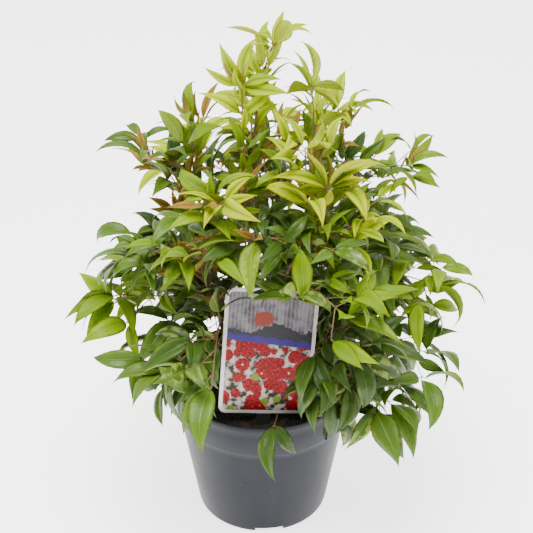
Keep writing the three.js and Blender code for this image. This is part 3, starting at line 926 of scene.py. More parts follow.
# %% The canes' sizes, in millimetres, and their bark
RING_CORNERS = 20
CANE_STEPS = 130
SCAR_SPACING = 17.0
SCAR_SWELL = 0.42
RIDGE_DEPTH = 0.16


def bark_finish():
    finish = Finish("cane_bark")
    cloud = finish.noise(90, 4)
    fibre = finish.noise(420, 4, stretch=(1, 1, 0.08))
    brown = finish.mix(cloud.ramp(0.3, 0.7), tone(0.075, 0.032, 0.016), tone(0.2, 0.11, 0.05))
    finish.feed(Base_Color=finish.mix(fibre.ramp(0.5, 0.75) * 0.5, brown, tone(0.3, 0.2, 0.11)))
    finish.feed(Roughness=0.62 + cloud * 0.2)
    finish.bump(fibre, 0.0004)
    return finish.material


# %% The canes
def swelling(distance):
    """How far the stem swells at a distance from its foot: a sharp ring at each scar."""
    nearest = abs((distance + SCAR_SPACING / 2) % SCAR_SPACING - SCAR_SPACING / 2)
    return SCAR_SWELL * math.exp(-((nearest / 0.9) ** 2)) - 0.1 * math.exp(-(((nearest - 2) / 0.8) ** 2))


def make_cane(index, cane):
    select_only()
    bpy.ops.curve.primitive_bezier_curve_add()
    stem = added(f"cane_bark_{index + 1}")
    stem.data.dimensions = "3D"
    stem.data.resolution_u = CANE_STEPS
    stem.data.bevel_depth = MM
    stem.data.bevel_resolution = RING_CORNERS // 2 - 2
    ends = (cane.start, CANE_BASE_RADIUS * 0.95), (cane.end, CANE_TIP_RADIUS * 0.68)
    for point, (at, radius) in zip(stem.data.splines[0].bezier_points, ends):
        point.handle_left_type = "FREE"
        point.handle_right_type = "FREE"
        point.co = at * MM
        point.handle_left = (at + 2 * cane.bend) / 3 * MM
        point.handle_right = point.handle_left
        point.radius = radius
    bpy.ops.object.convert(target="MESH")
    stem = added(stem.name)
    relief(stem, index)
    edit_all()
    bpy.ops.mesh.remove_doubles(threshold=1e-6)
    bpy.ops.mesh.fill_holes(sides=0)
    bpy.ops.mesh.normals_make_consistent(inside=False)
    leave_edit_mode()
    smooth(stem, 50)
    return stem


def relief(stem, index):
    """Moves each ring of corners out or in, for the flare, the scars and the bark's ridges."""
    corners = np.array([v.co[:] for v in stem.data.vertices]).reshape(-1, RING_CORNERS, 3)
    centres = corners.mean(axis=1, keepdims=True)
    steps = np.linalg.norm(np.diff(centres[:, 0], axis=0), axis=1) / MM
    distances = np.concatenate([[0], np.cumsum(steps)])
    for ring, distance in enumerate(distances):
        flare = CANE_FLARE * max(0, 1 - distance / (distances[-1] / 6)) ** 1.5
        for corner in range(RING_CORNERS):
            at = Vector((corner * 0.9, distance * 0.04, index * 10))
            ridge = RIDGE_DEPTH * (noise.noise(at) - 0.4)
            out = corners[ring, corner] - centres[ring, 0]
            grow = (flare + swelling(distance) + ridge) * MM / np.linalg.norm(out)
            corners[ring, corner] = centres[ring, 0] + out * (1 + grow)
    stem.data.vertices.foreach_set("co", corners.ravel())
    stem.data.update()


bark = bark_finish()
for index, cane in enumerate(canes):
    settle(make_cane(index, cane), "cane_bark", bark, f"cane_{index + 1}")


# %% [markdown]
# ## What stands already
# A new twig or leaflet must clear what stands. Each standing thing is kept as a tree of faces with its box,
# and the boxes are in one array, so that only the few near neighbours are tried face against face.


# %% The standing pieces
class Thicket:
    """All that a new leaflet has to clear."""

    def __init__(self, room=9000):
        self.trees = []
        self.keys = []
        self.boxes = np.zeros((room, 2, 3))

    def stand(self, corners, faces, key):
        self.boxes[len(self.trees)] = corners.min(axis=0), corners.max(axis=0)
        self.trees.append(BVHTree.FromPolygons(corners.tolist(), faces))
        self.keys.append(key)

    def near(self, corners):
        """The numbers of the trees whose boxes meet these corners' box."""
        boxes = self.boxes[: len(self.trees)]
        low, high = corners.min(axis=0), corners.max(axis=0)
        return np.nonzero((boxes[:, 0] < high).all(axis=1) & (boxes[:, 1] > low).all(axis=1))[0]

    def clear(self, corners, faces, own=None):
        """True where new corners and faces touch nothing but what bears their own key."""
        others = [i for i in self.near(corners) if self.keys[i] != own]
        if not others:
            return True
        tree = BVHTree.FromPolygons(corners.tolist(), faces)
        return not any(self.trees[i].overlap(tree) for i in others)


thicket = Thicket()
for name in ("nursery_pot", "compost_fill", "plant_label"):
    piece = bpy.data.objects[name]
    thicket.stand(corners_of(piece), [list(face.vertices) for face in piece.data.polygons], name)


# %% [markdown]
# ## Stalks and twigs
# Every stalk is a thin round tube that tapers along its arch. At each joint it swells into a small red knot,
# and there a pair of side stalks, or of leaflets, stands out. The tubes are one piece and the knots another.


# %% Tubes
def ring(centre, side, rise, radius, sides):
    """The corners of a circle round a place."""
    turns = [math.tau * k / sides for k in range(sides)]
    return [centre + (side * math.cos(turn) + rise * math.sin(turn)) * radius for turn in turns]


def ring_faces(rings, sides):
    """The faces of a row of rings, closed at both ends."""
    faces = []
    for i in range(rings - 1):
        for k in range(sides):
            a, b = i * sides + k, i * sides + (k + 1) % sides
            faces.append((a, b, b + sides, a + sides))
    last = (rings - 1) * sides
    return faces + [tuple(reversed(range(sides))), tuple(range(last, last + sides))]


def tube(path, start_radius, end_radius, sides, steps):
    """The corners and faces of a tapering round tube with closed ends."""
    corners = []
    for i in range(steps + 1):
        u = i / steps
        side = path.side(u)
        rise = side.cross(path.along(u))
        corners += ring(path.point(u), side, rise, mix(start_radius, end_radius, u), sides)
    return np.array([corner[:] for corner in corners]), ring_faces(steps + 1, sides)


class Bundle:
    """Tubes, knots or leaflets that become one piece."""

    def __init__(self, name):
        self.name = name
        self.corners = []
        self.faces = []

    def add(self, corners, faces):
        self.corners.append(corners)
        self.faces.append(faces)

    def piece(self):
        return joined(self.name, self.corners, self.faces)


stalks = Bundle("leaf_stalks")
twigs = Bundle("side_stalks")
knots = Bundle("stalk_joints")

# %% Knots
KNOT_SIDES = 8
# How far along the stalk each ring of a knot stands, and how far out, as shares of its size.
KNOT_RINGS = ((-1.7, 0.25), (-1.1, 0.92), (-0.35, 1.25), (0.4, 1.2), (1.1, 0.9), (1.8, 0.25))


def knot(at, along, size):
    """A small swelling round a joint, a little longer than wide."""
    side = along.orthogonal().normalized()
    rise = side.cross(along)
    corners = []
    for forward, out in KNOT_RINGS:
        corners += ring(at + along * forward * size, side, rise, out * size, KNOT_SIDES)
    knots.add(np.array([corner[:] for corner in corners]), ring_faces(len(KNOT_RINGS), KNOT_SIDES))


# %% The label stays in view
VIEW_PITCH = 32.0
VIEW_DEPTH = 170.0
# The left, right, foot and top of what is kept in view, from the middle of the card.
KEPT_VIEWS = ((-36, 36, 0, 42), (-36, 9, -48, 0))


def hides_print(corners):
    """True where a point stands before the card's print, as seen from the front and above."""
    local = np.array(card_place().inverted())
    pitch = math.radians(VIEW_PITCH)
    way = local[:3, :3] @ np.array([0, math.cos(pitch), -math.sin(pitch)])
    at = corners @ local[:3, :3].T + local[:3, 3] / MM
    travel = -at[:, 1] / way[1]
    hit = at + travel[:, None] * way
    x, z = hit[:, 0], hit[:, 2] - CARD_HEIGHT / 2
    kept = [(x > left) & (x < right) & (z > foot) & (z < top) for left, right, foot, top in KEPT_VIEWS]
    return bool(((travel > 0) & (travel < VIEW_DEPTH) & np.any(kept, axis=0)).any())


# %% Note the places for leaflets
AGES = ("gold", "lime", "fresh", "leaf", "deep")
STALK_RADIUS = 0.95
STALK_TIP_RADIUS = 0.45
TWIG_RADIUS = 0.46
TWIG_TIP_RADIUS = 0.32
TWIG_LENGTHS = (15, 31)  # on the smallest spray and on the largest
YOUNG_LEVEL = 0.65
BRONZE_LEVEL = 0.3
BRONZE_TIPS = (0.9, 0.3)  # the share of tips with young bronze leaflets at the left and at the right
BRONZE_TWIGS = (0.34, 0.12)
WHORL_TURNS = {
    1: (0,),
    2: (0, 70),
    3: (0, 66, -66),
    5: (0, 50, -50, 104, -104),
    7: (0, 44, -44, 90, -90, 140, -140),
}
TWIG_WHORLS = ((1.0, (0, 64, -64), 0.92), (0.45, (58, -58), 0.68))  # share of the way, turns and size


def older(tint, steps):
    """The tint of leaflets some steps older than the spray's tip."""
    return AGES[min(len(AGES) - 1, AGES.index(tint) + steps)]


def note_place(host, at, way, rise, size, radius, tint=None, hang=0):
    """Notes a place for a leaflet on its host."""
    own = {"at": at, "way": way, "rise": rise, "size": size, "radius": radius, "hang": hang}
    host["spots"].append({**own, "tint": tint or older(host["tint"], host.get("age", 0))})


def across_plan(path, share):
    """The direction that stands out of a path's own plan of leaflets."""
    return path.side(share).cross(path.along(share))


def is_bronze(host, at, shares, *keys):
    """Draws whether young bronze leaflets stand at a place."""
    left, right = shares
    return host["level"] > BRONZE_LEVEL and draw(*keys) < (left if at.x < 0 else right)


def end_whorl(host, path, radius, scale=1.0):
    """The leaflets at a tip: one runs on, the others stand to its sides."""
    knot(path.end, path.along(1), radius * 1.25)
    outward = Vector((path.end.x, path.end.y, 0)).normalized()
    rise = (across_plan(path, 1) + outward * 0.5).normalized()
    for turn in WHORL_TURNS[host["whorl"]]:
        size = scale * (1 + 0.2 * (host["whorl"] == 1) - 0.12 * bool(turn) - 0.06 * (abs(turn) > 70))
        way = turned(path.along(1), rise, turn)
        note_place(host, path.end, way, rise, size, radius, host.get("tip"), host.get("hang", 0))
    if is_bronze(host, path.end, BRONZE_TIPS, host["seed"], 70):
        for hand in (1, -1):
            way = (turned(path.along(1), rise, 28 * hand) + rise * 0.9).normalized()
            small = spread(0.66, 0.12, host["seed"], hand, 71)
            note_place(host, path.end, way, rise, small, radius, "bronze")


# %% Grow the side stalks
def grow_twig(host, at, way, length, *keys):
    """A side stalk with leaflets at its tip and, most times, a pair or one on its way."""
    path = Arch(at, at + way * length * 0.5 + UP * length * 0.06, at + way * length - UP * length * 0.05)
    corners, faces = tube(path, TWIG_RADIUS, TWIG_TIP_RADIUS, 6, 8)
    if draw(*keys, 73) < host.get("thin", 0) or hides_print(corners):
        return
    if not thicket.clear(corners, faces, host["node"]):
        return
    thicket.stand(corners, faces, host["node"])
    twigs.add(corners, faces)
    young = is_bronze(host, at, BRONZE_TWIGS, *keys, 72)
    tint = "bronze" if young else None
    for share, turns, scale in TWIG_WHORLS:
        along = path.along(share)
        rise = across_plan(path, share)
        knot(path.point(share), along, TWIG_RADIUS * 1.15)
        for turn in turns:
            if share == 1 or draw(*keys, turn + 100) > 0.25:
                size = scale * (0.88 if turn else 1) * (0.74 if young else 1)
                way = turned(along, rise, turn)
                note_place(host, path.point(share), way, rise, size, TWIG_TIP_RADIUS, tint)


def grow_pair(host, path, share, twist, scale, *keys):
    """Two side stalks at a joint, or near the top of the crown two leaflets."""
    at = path.point(share)
    radius = mix(STALK_RADIUS, STALK_TIP_RADIUS, share)
    knot(at, path.along(share), radius * 1.1)
    for hand in (1, -1):
        way = path.along(share) * 0.62 + path.side(share) * hand * 0.8 + UP * 0.12
        way = turned(way, path.along(share), twist).normalized()
        if host["level"] > YOUNG_LEVEL:
            note_place(host, at, way, across_plan(path, share), 0.9 * scale, radius)
        else:
            length = mix(*TWIG_LENGTHS, host["size"]) * scale * spread(1, 0.25, *keys, hand, 9)
            grow_twig(host, at, way, length, *keys, hand)


# %% Grow the stalks
SPRAY_JOINTS = (0.1, 0.28, 0.47, 0.66, 0.84)
YOUNG_JOINTS = (0.12, 0.34, 0.58, 0.8)
TOP_JOINTS = (0.14, 0.29, 0.44, 0.58, 0.72, 0.86)
BOUGH_JOINTS = (0.5, 0.72, 0.94)


def grow_stalk(spray):
    path = spray["path"]
    thick = STALK_RADIUS * (1 if spray["from"] else 0.85)
    corners, faces = tube(path, thick, STALK_TIP_RADIUS, 8, 28)
    stalks.add(corners, faces)
    thicket.stand(corners, faces, spray["node"])
    knot(path.point(0.02), path.along(0.02), thick * 1.25)
    spray["main"] = path.rest(spray["from"])
    spray["spots"] = []
    spray.setdefault("whorl", 5 if spray["level"] > YOUNG_LEVEL else 3)


def joints_of(spray):
    """The shares of its way at which a spray bears pairs of side stalks."""
    if spray.get("bare"):
        return ()
    if spray["level"] < 0.3:
        return SPRAY_JOINTS
    return YOUNG_JOINTS if spray["level"] < YOUNG_LEVEL else TOP_JOINTS


def grow_side_stalks(spray):
    """Pairs of side stalks at the joints of a spray, every second pair shorter and turned about the stalk."""
    twist = spread(0, 24, spray["seed"], 8)
    end_whorl(spray, spray["main"], STALK_TIP_RADIUS)
    spray["whorl_places"] = len(spray["spots"])
    for i, share in enumerate(joints_of(spray)):
        shorter = 1 - i % 2
        spray["age"] = (share < 0.35) + 2 * (share < 0.7) * (spray["tint"] == "gold")
        turn = twist + 58 * shorter
        grow_pair(spray, spray["main"], share, turn, 0.72 if shorter else 1, spray["seed"], i)


def grow_inside(spray):
    """Older leaflets on the bough, in the shade of the crown."""
    inner = {**spray, "spots": [], "level": 0.3, "size": 0.7, "tint": "deep"}
    for i, share in enumerate(BOUGH_JOINTS):
        grow_pair(inner, spray["path"], share * spray["from"], 40 * i, 0.8, spray["seed"], 20 + i)
    return inner["spots"]


for spray in sprays:
    grow_stalk(spray)
for spray in sprays:
    grow_side_stalks(spray)
    spray["inner_spots"] = grow_inside(spray) if spray["from"] else []


# %% Shoots on the canes
SHOOT_SHARES = (0.62, 0.76, 0.89)
SHOOT_TURN = 137.5  # from each pair of shoots to the next
FIRST_SHOOT_SEED = 600


def grow_cane_shoots(index, cane):
    """Short young side stalks round the upper part of a cane, and a whorl on its tip."""
    level = (cane.end.z - CROWN_WAIST) / (CROWN_TOP - CROWN_WAIST)
    tint = "lime" if level > 0.6 else "fresh" if level > 0.4 else "leaf"
    host = {"seed": FIRST_SHOOT_SEED + index, "level": min(level, 0.5), "size": 0.45, "tint": tint}
    host.update(node=f"cane_{index + 1}", whorl=5, spots=[])
    for i, share in enumerate(SHOOT_SHARES):
        grow_pair(host, cane, share, SHOOT_TURN * i, 0.85, host["seed"], i)
    end_whorl(host, cane, 0.8, 0.9)
    return host


for index, cane in enumerate(canes):
    thicket.stand(*tube(cane, CANE_BASE_RADIUS, CANE_TIP_RADIUS, 8, 12), f"cane_{index + 1}")
shoots = [grow_cane_shoots(index, cane) for index, cane in enumerate(canes)]
wanted = sum(len(host["spots"]) + len(host.get("inner_spots", ())) for host in sprays + shoots)
print("places for leaflets:", wanted)


# %% [markdown]
# ## A leaflet
# A leaflet is a thin blade, drawn out to a drip tip. It folds up a little along its midrib, its margins turn
# down again, and the whole blade arches over and twists. All of that is worked out on one grid of rows and
# columns, whose upper and lower sides share their margin, so that each blade is closed.

# %% The blade's grid
ROWS = np.array([0, 0.05, 0.13, 0.23, 0.34, 0.46, 0.58, 0.7, 0.81, 0.9, 0.96, 1])
COLUMNS = np.array([-1, -0.64, -0.27, 0, 0.27, 0.64, 1])
MIDRIB = 3  # the column in the middle
WIDEST = 0.37
TIP_FALL = 1.5
BLADE_THICKNESS = 0.28
RIB_THICKNESS = 0.45
UNDERSIDE = 2.0  # added to the across value of the chart below


def half_width(rows):
    """The blade's outline: 1 at its widest, 0 at its base and its long tip."""
    rise = TIP_FALL * WIDEST / (1 - WIDEST)
    return rows**rise * (1 - rows) ** TIP_FALL / (WIDEST**rise * (1 - WIDEST) ** TIP_FALL)


def number_corners():
    """Each corner's number above and below: 0 is the base, 1 the tip, and both sides share the margin."""
    last = len(ROWS) - 1
    ends = {(r, c): r // last for r in (0, last) for c in range(len(COLUMNS))}
    top, bottom = dict(ends), dict(ends)
    numbers = itertools.count(2)
    for r in range(1, last):
        for c in range(len(COLUMNS)):
            top[r, c] = next(numbers)
        for c in range(len(COLUMNS)):
            margin = c in (0, len(COLUMNS) - 1)
            bottom[r, c] = top[r, c] if margin else next(numbers)
    return top, bottom


def blade_faces():
    """A blade's triangles, split alike above and below, and each one's places across and along the chart."""
    last = len(ROWS) - 1
    cells = [(r, c) for r in range(last) for c in range(len(COLUMNS) - 1)]
    halves = [((r, c), (r, c + 1), (r + 1, c + 1)) for r, c in cells if r > 0]
    halves += [((r, c), (r + 1, c + 1), (r + 1, c)) for r, c in cells if r < last - 1]
    faces = []
    charts = []
    for side, offset in zip(number_corners(), (0.0, UNDERSIDE)):
        for half in halves:
            half = half[::-1] if offset else half
            faces.append(tuple(side[place] for place in half))
            charts += [(offset + COLUMNS[c] / 2 + 0.5, ROWS[r]) for r, c in half]
    return faces, charts


FACES, CHARTS = blade_faces()


# %% One blade
BEND_POWER = 1.25
WAVE_LENGTH = 9.0  # radians from base to tip


def blade(base, along, up, form):
    """All corners of one blade: base, tip, then the upper and lower rows."""
    along, up = np.array(along), np.array(up)
    side = np.cross(along, up)
    length = form["length"]
    steps = np.diff(ROWS) * length
    angle = form["bend"] * (0.5 - ROWS**BEND_POWER)
    middle_angle = (angle[1:] + angle[:-1]) / 2
    forward = np.concatenate([[0], np.cumsum(np.cos(middle_angle) * steps)])
    rise = np.concatenate([[0], np.cumsum(np.sin(middle_angle) * steps)])
    sway = form["sway"] * length * ROWS**2
    rib = np.array(base) + np.outer(forward, along) + np.outer(rise, up) + np.outer(sway, side)
    normal = np.outer(np.cos(angle), up) - np.outer(np.sin(angle), along)
    twist = (form["twist"] * ROWS)[:, None]
    across = side * np.cos(twist) + normal * np.sin(twist)
    normal = normal * np.cos(twist) - side * np.sin(twist)
    half = half_width(ROWS) * form["width"] * length / 2
    waves = form["wave"] * np.sin(ROWS * WAVE_LENGTH + form["phase"])
    wave = waves[:, None] * COLUMNS[None, :] * np.abs(COLUMNS)[None, :]
    lift = half[:, None] * (form["fold"] * np.abs(COLUMNS) - form["curl"] * COLUMNS**2 + wave)
    outwards = across[:, None] * (half[:, None] * COLUMNS)[..., None]
    top = rib[:, None] + outwards + normal[:, None] * lift[..., None]
    depth = BLADE_THICKNESS * (1 - COLUMNS**2) + RIB_THICKNESS * (COLUMNS == 0)
    depth = np.outer(1 - ROWS**2 * 0.7, depth)
    under = top - normal[:, None] * depth[..., None]
    corners = [top[0, MIDRIB], top[-1, MIDRIB]]
    for r in range(1, len(ROWS) - 1):
        corners.extend(top[r])
        corners.extend(under[r, 1:-1])
    return np.array(corners)


# %% A blade in few faces, to try whether it fits
ROW_SIZE = 2 * len(COLUMNS) - 2
COARSE_ROWS = (1, 3, 5, 7, 9)
COARSE = [0] + [2 + (r - 1) * ROW_SIZE + c for r in COARSE_ROWS for c in (0, MIDRIB, 2 * MIDRIB)] + [1]


def coarse_faces():
    faces = [(0, 1, 2), (0, 2, 3)]
    for r in range(len(COARSE_ROWS) - 1):
        for c in (1, 2):
            a = 3 * r + c
            faces.append((a, a + 1, a + 4, a + 3))
    last = 3 * (len(COARSE_ROWS) - 1)
    return faces + [(last + 1, last + 2, last + 4), (last + 2, last + 3, last + 4)]


COARSE_FACES = coarse_faces()
# A leaflet's base meets its own stalk, so the trial leaves corner 0 and its faces out.
TRIAL_FACES = [tuple(i - 1 for i in face) for face in COARSE_FACES if 0 not in face]
print("faces of a leaflet:", len(FACES))


# %% [markdown]
# ## Where leaflets may stand
# A leaflet keeps within a little of its own spray's solid, clears all that stands, and leaves the label's
# print in view from the front. Where the first try fails it is turned, tilted and shortened a little, and
# tried again.

# %% A leaflet's own form, in millimetres and radians
LEAFLET_LENGTHS = (35.0, 53.0)  # in the young top of the crown and low down
LENGTH_SPREAD = 0.15
RETRY_SCALE = 0.95  # how much shorter each new try is


def leaflet_form(host, spot, attempt, *keys):
    """A leaflet's own shape: how long, broad, bent, twisted, folded and waved it is."""
    length = mix(*LEAFLET_LENGTHS, host["size"]) * spot["size"] * host.get("broad", 1)
    form = {
        "length": length * (spread(1, LENGTH_SPREAD, *keys, 11) * RETRY_SCALE**attempt),
        "width": spread(0.33, 0.06, *keys, 1),
        "bend": spread(1.45, 0.7, *keys, 2),
        "sway": spread(0, 0.12, *keys, 3),
        "twist": spread(0, 0.7, *keys, 4),
        "fold": spread(0.42, 0.2, *keys, 5),
        "curl": spread(0.28, 0.16, *keys, 6),
        "wave": spread(0.05, 0.05, *keys, 7),
        "phase": spread(3, 3, *keys, 8),
    }
    form["width"] *= mix(1.18, 0.9, clamp(host["level"] * 1.5 + 0.35)) * (1.35 if spot["hang"] else 1)
    if spot["tint"] == "bronze":
        form["width"] *= 0.85
        form["bend"] *= 0.5
    form["bend"] *= 0.85 if host["level"] > YOUNG_LEVEL else 1
    return form


# %% How a leaflet stands
def leaflet_frame(host, spot, way, form, *keys):
    """The directions along and up out of a leaflet: it leaves its stalk, arches over and droops."""
    lift = 0 if spot["hang"] else mix(0, 0.5, clamp((host["level"] + 0.4) / 0.8))
    way = (way + UP * lift).normalized()
    across = way.cross(UP)
    across = across.normalized() if across.length > 0.1 else way.orthogonal().normalized()
    droop = mix(14, -14, clamp((host["level"] + 0.1) / 0.8))
    loose = mix(1.4, 1, clamp(host["level"] * 3))
    tilt = droop + math.degrees(form["bend"]) * 0.32 + spread(0, 34, *keys, 9) * loose
    tilt += spot["hang"] - 16 * (spot["tint"] == "bronze")
    along = turned(way, across, -tilt)
    outward = Vector((spot["at"].x, spot["at"].y, 0)).normalized()
    up = UP + outward * 0.5 + spot["rise"] * 0.6
    up = turned(up, along, spread(0, 38, *keys, 10) * loose)
    up = (up - along * up.dot(along)).normalized()
    return along, up


# %% Try a leaflet at its place
TRIES = 7
PETIOLE = 2.6
PETIOLE_RADII = (0.36, 0.27)
SPRAY_MARGIN = 10.0


def spray_box(node):
    """The box that a spray's leaflets keep within, in millimetres."""
    corners = corners_of(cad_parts[node])
    return corners.min(axis=0) - SPRAY_MARGIN, corners.max(axis=0) + SPRAY_MARGIN


def fits(corners, box):
    inside = (corners.min(axis=0) > box[0]).all() and (corners.max(axis=0) < box[1]).all()
    return inside and not hides_print(corners) and thicket.clear(corners[COARSE[1:]], TRIAL_FACES)


def grow_leaflet(host, number, spot, box):
    for attempt in range(TRIES):
        keys = (host["seed"], number, attempt)
        form = leaflet_form(host, spot, attempt, *keys)
        start = turned(spot["way"], spot["rise"], spread(0, 26 + 8 * attempt, *keys, 12))
        along, up = leaflet_frame(host, spot, start, form, *keys)
        base = spot["at"] + start * (spot["radius"] + PETIOLE)
        corners = blade(base, along, up, form)
        if fits(corners, box):
            thicket.stand(corners[COARSE], COARSE_FACES, host["node"])
            petiole = Arch(spot["at"], spot["at"] + start * PETIOLE * 0.6, base + along * 1.2)
            twigs.add(*tube(petiole, *PETIOLE_RADII, 5, 2))
            return corners
    return None


# %% [markdown]
# ## The leaf's skin
# Each face corner of a blade carries its place across and along as a UV map, 2 higher on the underside. The
# midrib, the side veins and the paler underside are drawn from it, and a number of its own shades every
# leaflet.


# %% Leaf finishes
def leaf_finish(name, gloss, fair, dark, heart, rib):
    """A leaf's colours run from fair to dark by leaflet and in soft patches, with a heart of their own.

    Its skin is a little crinkled, so that its sheen breaks up, and a few leaflets are mottled pale.
    """
    finish = Finish(name, Specular_IOR_Level=gloss, Coat_Weight=gloss * 0.4, Coat_Roughness=0.3)
    chart_across, along = finish.chart()
    under = chart_across > UNDERSIDE - 0.5
    across = abs((chart_across - under * UNDERSIDE - 0.5) * 2)
    own = finish.node("Attribute", {"attribute_name": "shade"}, out="Fac")
    patches = finish.noise(55, 4)
    mask = (own * 0.75 + patches.ramp(0.3, 0.7) * 0.3).least(1)
    blade_tone = finish.mix(mask, fair, dark)
    flush = across.ramp(0.8, 0.1) * along.ramp(1.05, 0.3) * (0.5 + patches * 0.6)
    blade_tone = finish.mix(flush, blade_tone, heart)
    crinkle = finish.noise(150, 3)
    mottle = own.ramp(0.86, 0.9) * crinkle.ramp(0.44, 0.58) * across.ramp(0, 0.4)
    blade_tone = finish.mix(mottle * 0.5, blade_tone, tone(0.32, 0.4, 0.07))
    margin = across.ramp(0.55, 1) * patches.ramp(0.45, 0.7)
    blade_tone = finish.mix(margin * 0.4, blade_tone, tone(0.36, 0.4, 0.01))
    midrib = across.ramp(0.1, 0.03)
    veins = ((along * 13 - across * 3.2) * math.tau).sine().ramp(0.6, 1) * across.ramp(0.04, 0.2)
    top = finish.mix(veins * 0.12, blade_tone, rib)
    top = finish.mix(midrib * 0.6, top, rib)
    pale = finish.mix(0.4, blade_tone, tuple(map(max, fair, tone(0.22, 0.31, 0.03))))
    below = finish.mix(midrib * 0.6 + veins * 0.2, pale, tone(0.36, 0.42, 0.17))
    finish.feed(Base_Color=finish.mix(under, top, below))
    finish.feed(Roughness=0.3 + under * 0.3 + patches * 0.14)
    finish.bump(crinkle * 2.2 - midrib * 0.8 - veins * 0.18, 0.0005)
    return finish.material


# The slot and the gloss of each tint.
LEAF_KINDS = {
    "lime": ("leaf_lime", 0.02),
    "gold": ("leaf_lime", 0.01),
    "bronze": ("leaf_lime", 0.08),
    "fresh": ("leaf_fresh", 0.1),
    "leaf": ("leaf_fresh", 0.22),
    "deep": ("leaf_deep", 0.22),
}
# The fair, dark and heart colours of each tint, and its rib's.
LEAF_COLOURS = {
    "lime": ((0.49, 0.55, 0), (0.33, 0.43, 0), (0.19, 0.32, 0), (0.08, 0.18, 0)),
    "gold": ((0.5, 0.5, 0), (0.4, 0.44, 0), (0.12, 0.25, 0), (0.05, 0.13, 0)),
    "bronze": ((0.34, 0.21, 0.035), (0.26, 0.17, 0.02), (0.25, 0.12, 0.025), (0.17, 0.045, 0.01)),
    "fresh": ((0.23, 0.34, 0), (0.092, 0.168, 0.002), (0.105, 0.2, 0), (0.24, 0.34, 0.02)),
    "leaf": ((0.105, 0.19, 0.012), (0.035, 0.08, 0.006), (0.049, 0.11, 0.004), (0.15, 0.23, 0.03)),
    "deep": ((0.052, 0.104, 0.007), (0.013, 0.036, 0.003), (0.022, 0.058, 0.002), (0.08, 0.13, 0.02)),
}


# %% Grow the leaflets
CROWN_BOX = np.array([[-118, -112, 128], [118, 112, 420]])  # for the leaflets inside the crown
FIRST_INNER = 500  # their numbers start past those of any spray's own leaflets


class Foliage(Bundle):
    """Leaflets of one tint, each with a shade of its own, and the solids that they stand for."""

    def __init__(self, name):
        super().__init__(name)
        self.shades = []
        self.nodes = []

    def piece(self):
        piece = super().piece()
        chart = piece.data.uv_layers.new(name="UVMap")
        chart.data.foreach_set("uv", np.tile(np.array(CHARTS), (len(self.corners), 1)).ravel())
        shade = piece.data.attributes.new("shade", "FLOAT", "POINT")
        shade.data.foreach_set("value", np.repeat(self.shades, len(self.corners[0])))
        return piece


foliage = {tint: Foliage(f"leaves_{tint}") for tint in LEAF_KINDS}


def grow_leaflets(host, spots, box, first=0):
    for number, spot in enumerate(spots, first):
        corners = grow_leaflet(host, number, spot, box)
        if corners is not None:
            kind = foliage[spot["tint"]]
            kind.add(corners, FACES)
            kind.shades.append(draw(host["seed"], number, 60))
            if host["node"].startswith("spray"):
                kind.nodes.append(host["node"])


bright_first = sorted(sprays, key=lambda spray: 0 if "tip" in spray else AGES.index(spray["tint"]))
for spray in bright_first:
    grow_leaflets(spray, spray["spots"][:spray["whorl_places"]], spray_box(spray["node"]))
for spray in bright_first:
    first = spray["whorl_places"]
    grow_leaflets(spray, spray["spots"][first:], spray_box(spray["node"]), first)
for host in shoots:
    grow_leaflets(host, host["spots"], CROWN_BOX)
for spray in sprays:
    grow_leaflets(spray, spray["inner_spots"], CROWN_BOX, FIRST_INNER)
print("leaflets:", {tint: len(kind.corners) for tint, kind in foliage.items()})


# %% Make the pieces
def clouded_finish(name, roughness, scale, first, second):
    """One colour that runs into another in soft clouds."""
    finish = Finish(name, Roughness=roughness)
    cloud = finish.noise(scale, 3)
    finish.feed(Base_Color=finish.mix(cloud.ramp(0.3, 0.7), first, second))
    return finish.material


stalk_skin = clouded_finish("leaf_stalk", 0.5, 60, tone(0.15, 0.14, 0.025), tone(0.2, 0.075, 0.025))
joint_skin = clouded_finish("red_joint", 0.45, 140, tone(0.24, 0.06, 0.025), tone(0.13, 0.03, 0.015))
boughs = [f"bough_{i + 1:02d}" for i in range(BOUGH_COUNT)]
spray_nodes = [spray["node"] for spray in sprays]
settle(stalks.piece(), "leaf_stalk", stalk_skin, *boughs)
settle(twigs.piece(), "leaf_stalk", stalk_skin, *spray_nodes)
settle(knots.piece(), "leaf_stalk", joint_skin, *spray_nodes)
for tint, (slot, gloss) in LEAF_KINDS.items():
    leaf_skin = leaf_finish(f"{tint}_leaf", gloss, *(tone(*colour) for colour in LEAF_COLOURS[tint]))
    settle(foliage[tint].piece(), slot, leaf_skin, *dict.fromkeys(foliage[tint].nodes))


# %% [markdown]
# ## The studio
# The plant stands on a pale floor that runs out of the picture on all sides and glows a little, as the paper
# of a light tent does. One broad light hangs over it, and a soft white sky fills the shadows.

# %% Floor and light
FLOOR_RADIUS = 14.0
FLOOR_DROP = 0.0002
FLOOR_GLOW = 2.6
SKY_STRENGTH = 1.35
SKY_FRONT = 0.3
LIGHT_PLACE = (-0.15, -0.45, 2.3)
LIGHT_SIZE = (1.3, 1.2)
LIGHT_WATTS = 106
LIGHT_AIM = Vector((0, 0, 0.2))


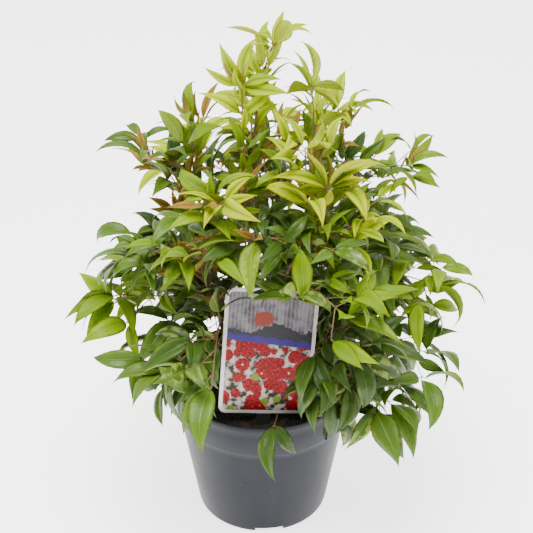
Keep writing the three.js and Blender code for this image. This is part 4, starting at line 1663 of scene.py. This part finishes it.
def make_floor():
    select_only()
    where = (0, 0, -FLOOR_DROP)
    bpy.ops.mesh.primitive_circle_add(vertices=64, radius=FLOOR_RADIUS, fill_type="NGON", location=where)
    floor = added("studio_floor")
    finish = Finish("white_paper", Roughness=0.9, Specular_IOR_Level=0.1, Emission_Strength=FLOOR_GLOW)
    grain = finish.noise(14, 3).ramp(0.3, 0.8)
    finish.feed(Base_Color=finish.mix(grain, tone(0.93, 0.925, 0.925), tone(0.95, 0.945, 0.945)))
    finish.feed(Emission_Color=tone(1, 0.985, 0.975))
    floor.data.materials.append(finish.material)


def make_light():
    data = bpy.data.lights.new("overhead_light", "AREA")
    data.shape = "RECTANGLE"
    data.size, data.size_y = LIGHT_SIZE
    data.energy = LIGHT_WATTS
    light = bpy.data.objects.new("overhead_light", data)
    light.location = LIGHT_PLACE
    light.rotation_euler = (LIGHT_AIM - light.location).to_track_quat("-Z", "Y").to_euler()
    bpy.context.scene.collection.objects.link(light)


def make_sky():
    """An even white sky, dimmer towards the front, where a studio's room is dark."""
    world = bpy.data.worlds.new("light_tent")
    world.use_nodes = True
    sky = Nodes(world.node_tree, "Background")
    way = sky.node("TexCoord", out="Generated")
    behind = sky.node("SeparateXYZ", inputs={0: way}, out="Y").ramp(-0.75, 0.1)
    level = behind * (SKY_STRENGTH - SKY_FRONT) + SKY_FRONT
    sky.feed(Color=sky.node("CombineColor", inputs=dict.fromkeys(range(3), level)))
    bpy.context.scene.world = world


make_floor()
make_sky()
make_light()

# %% The camera
SENSOR = 36.0
FOCAL_PIXELS = 1468
PICTURE_PIXELS = 533
PITCH = 32.01
CAMERA_PLACE = (0.0036, -1.051, 0.901)

camera = bpy.data.objects.new("camera", bpy.data.cameras.new("camera"))
camera.data.sensor_width = SENSOR
camera.data.lens = SENSOR * FOCAL_PIXELS / PICTURE_PIXELS
camera.location = CAMERA_PLACE
camera.rotation_euler = (math.radians(90 - PITCH), 0, 0)
bpy.context.scene.collection.objects.link(camera)
bpy.context.scene.camera = camera
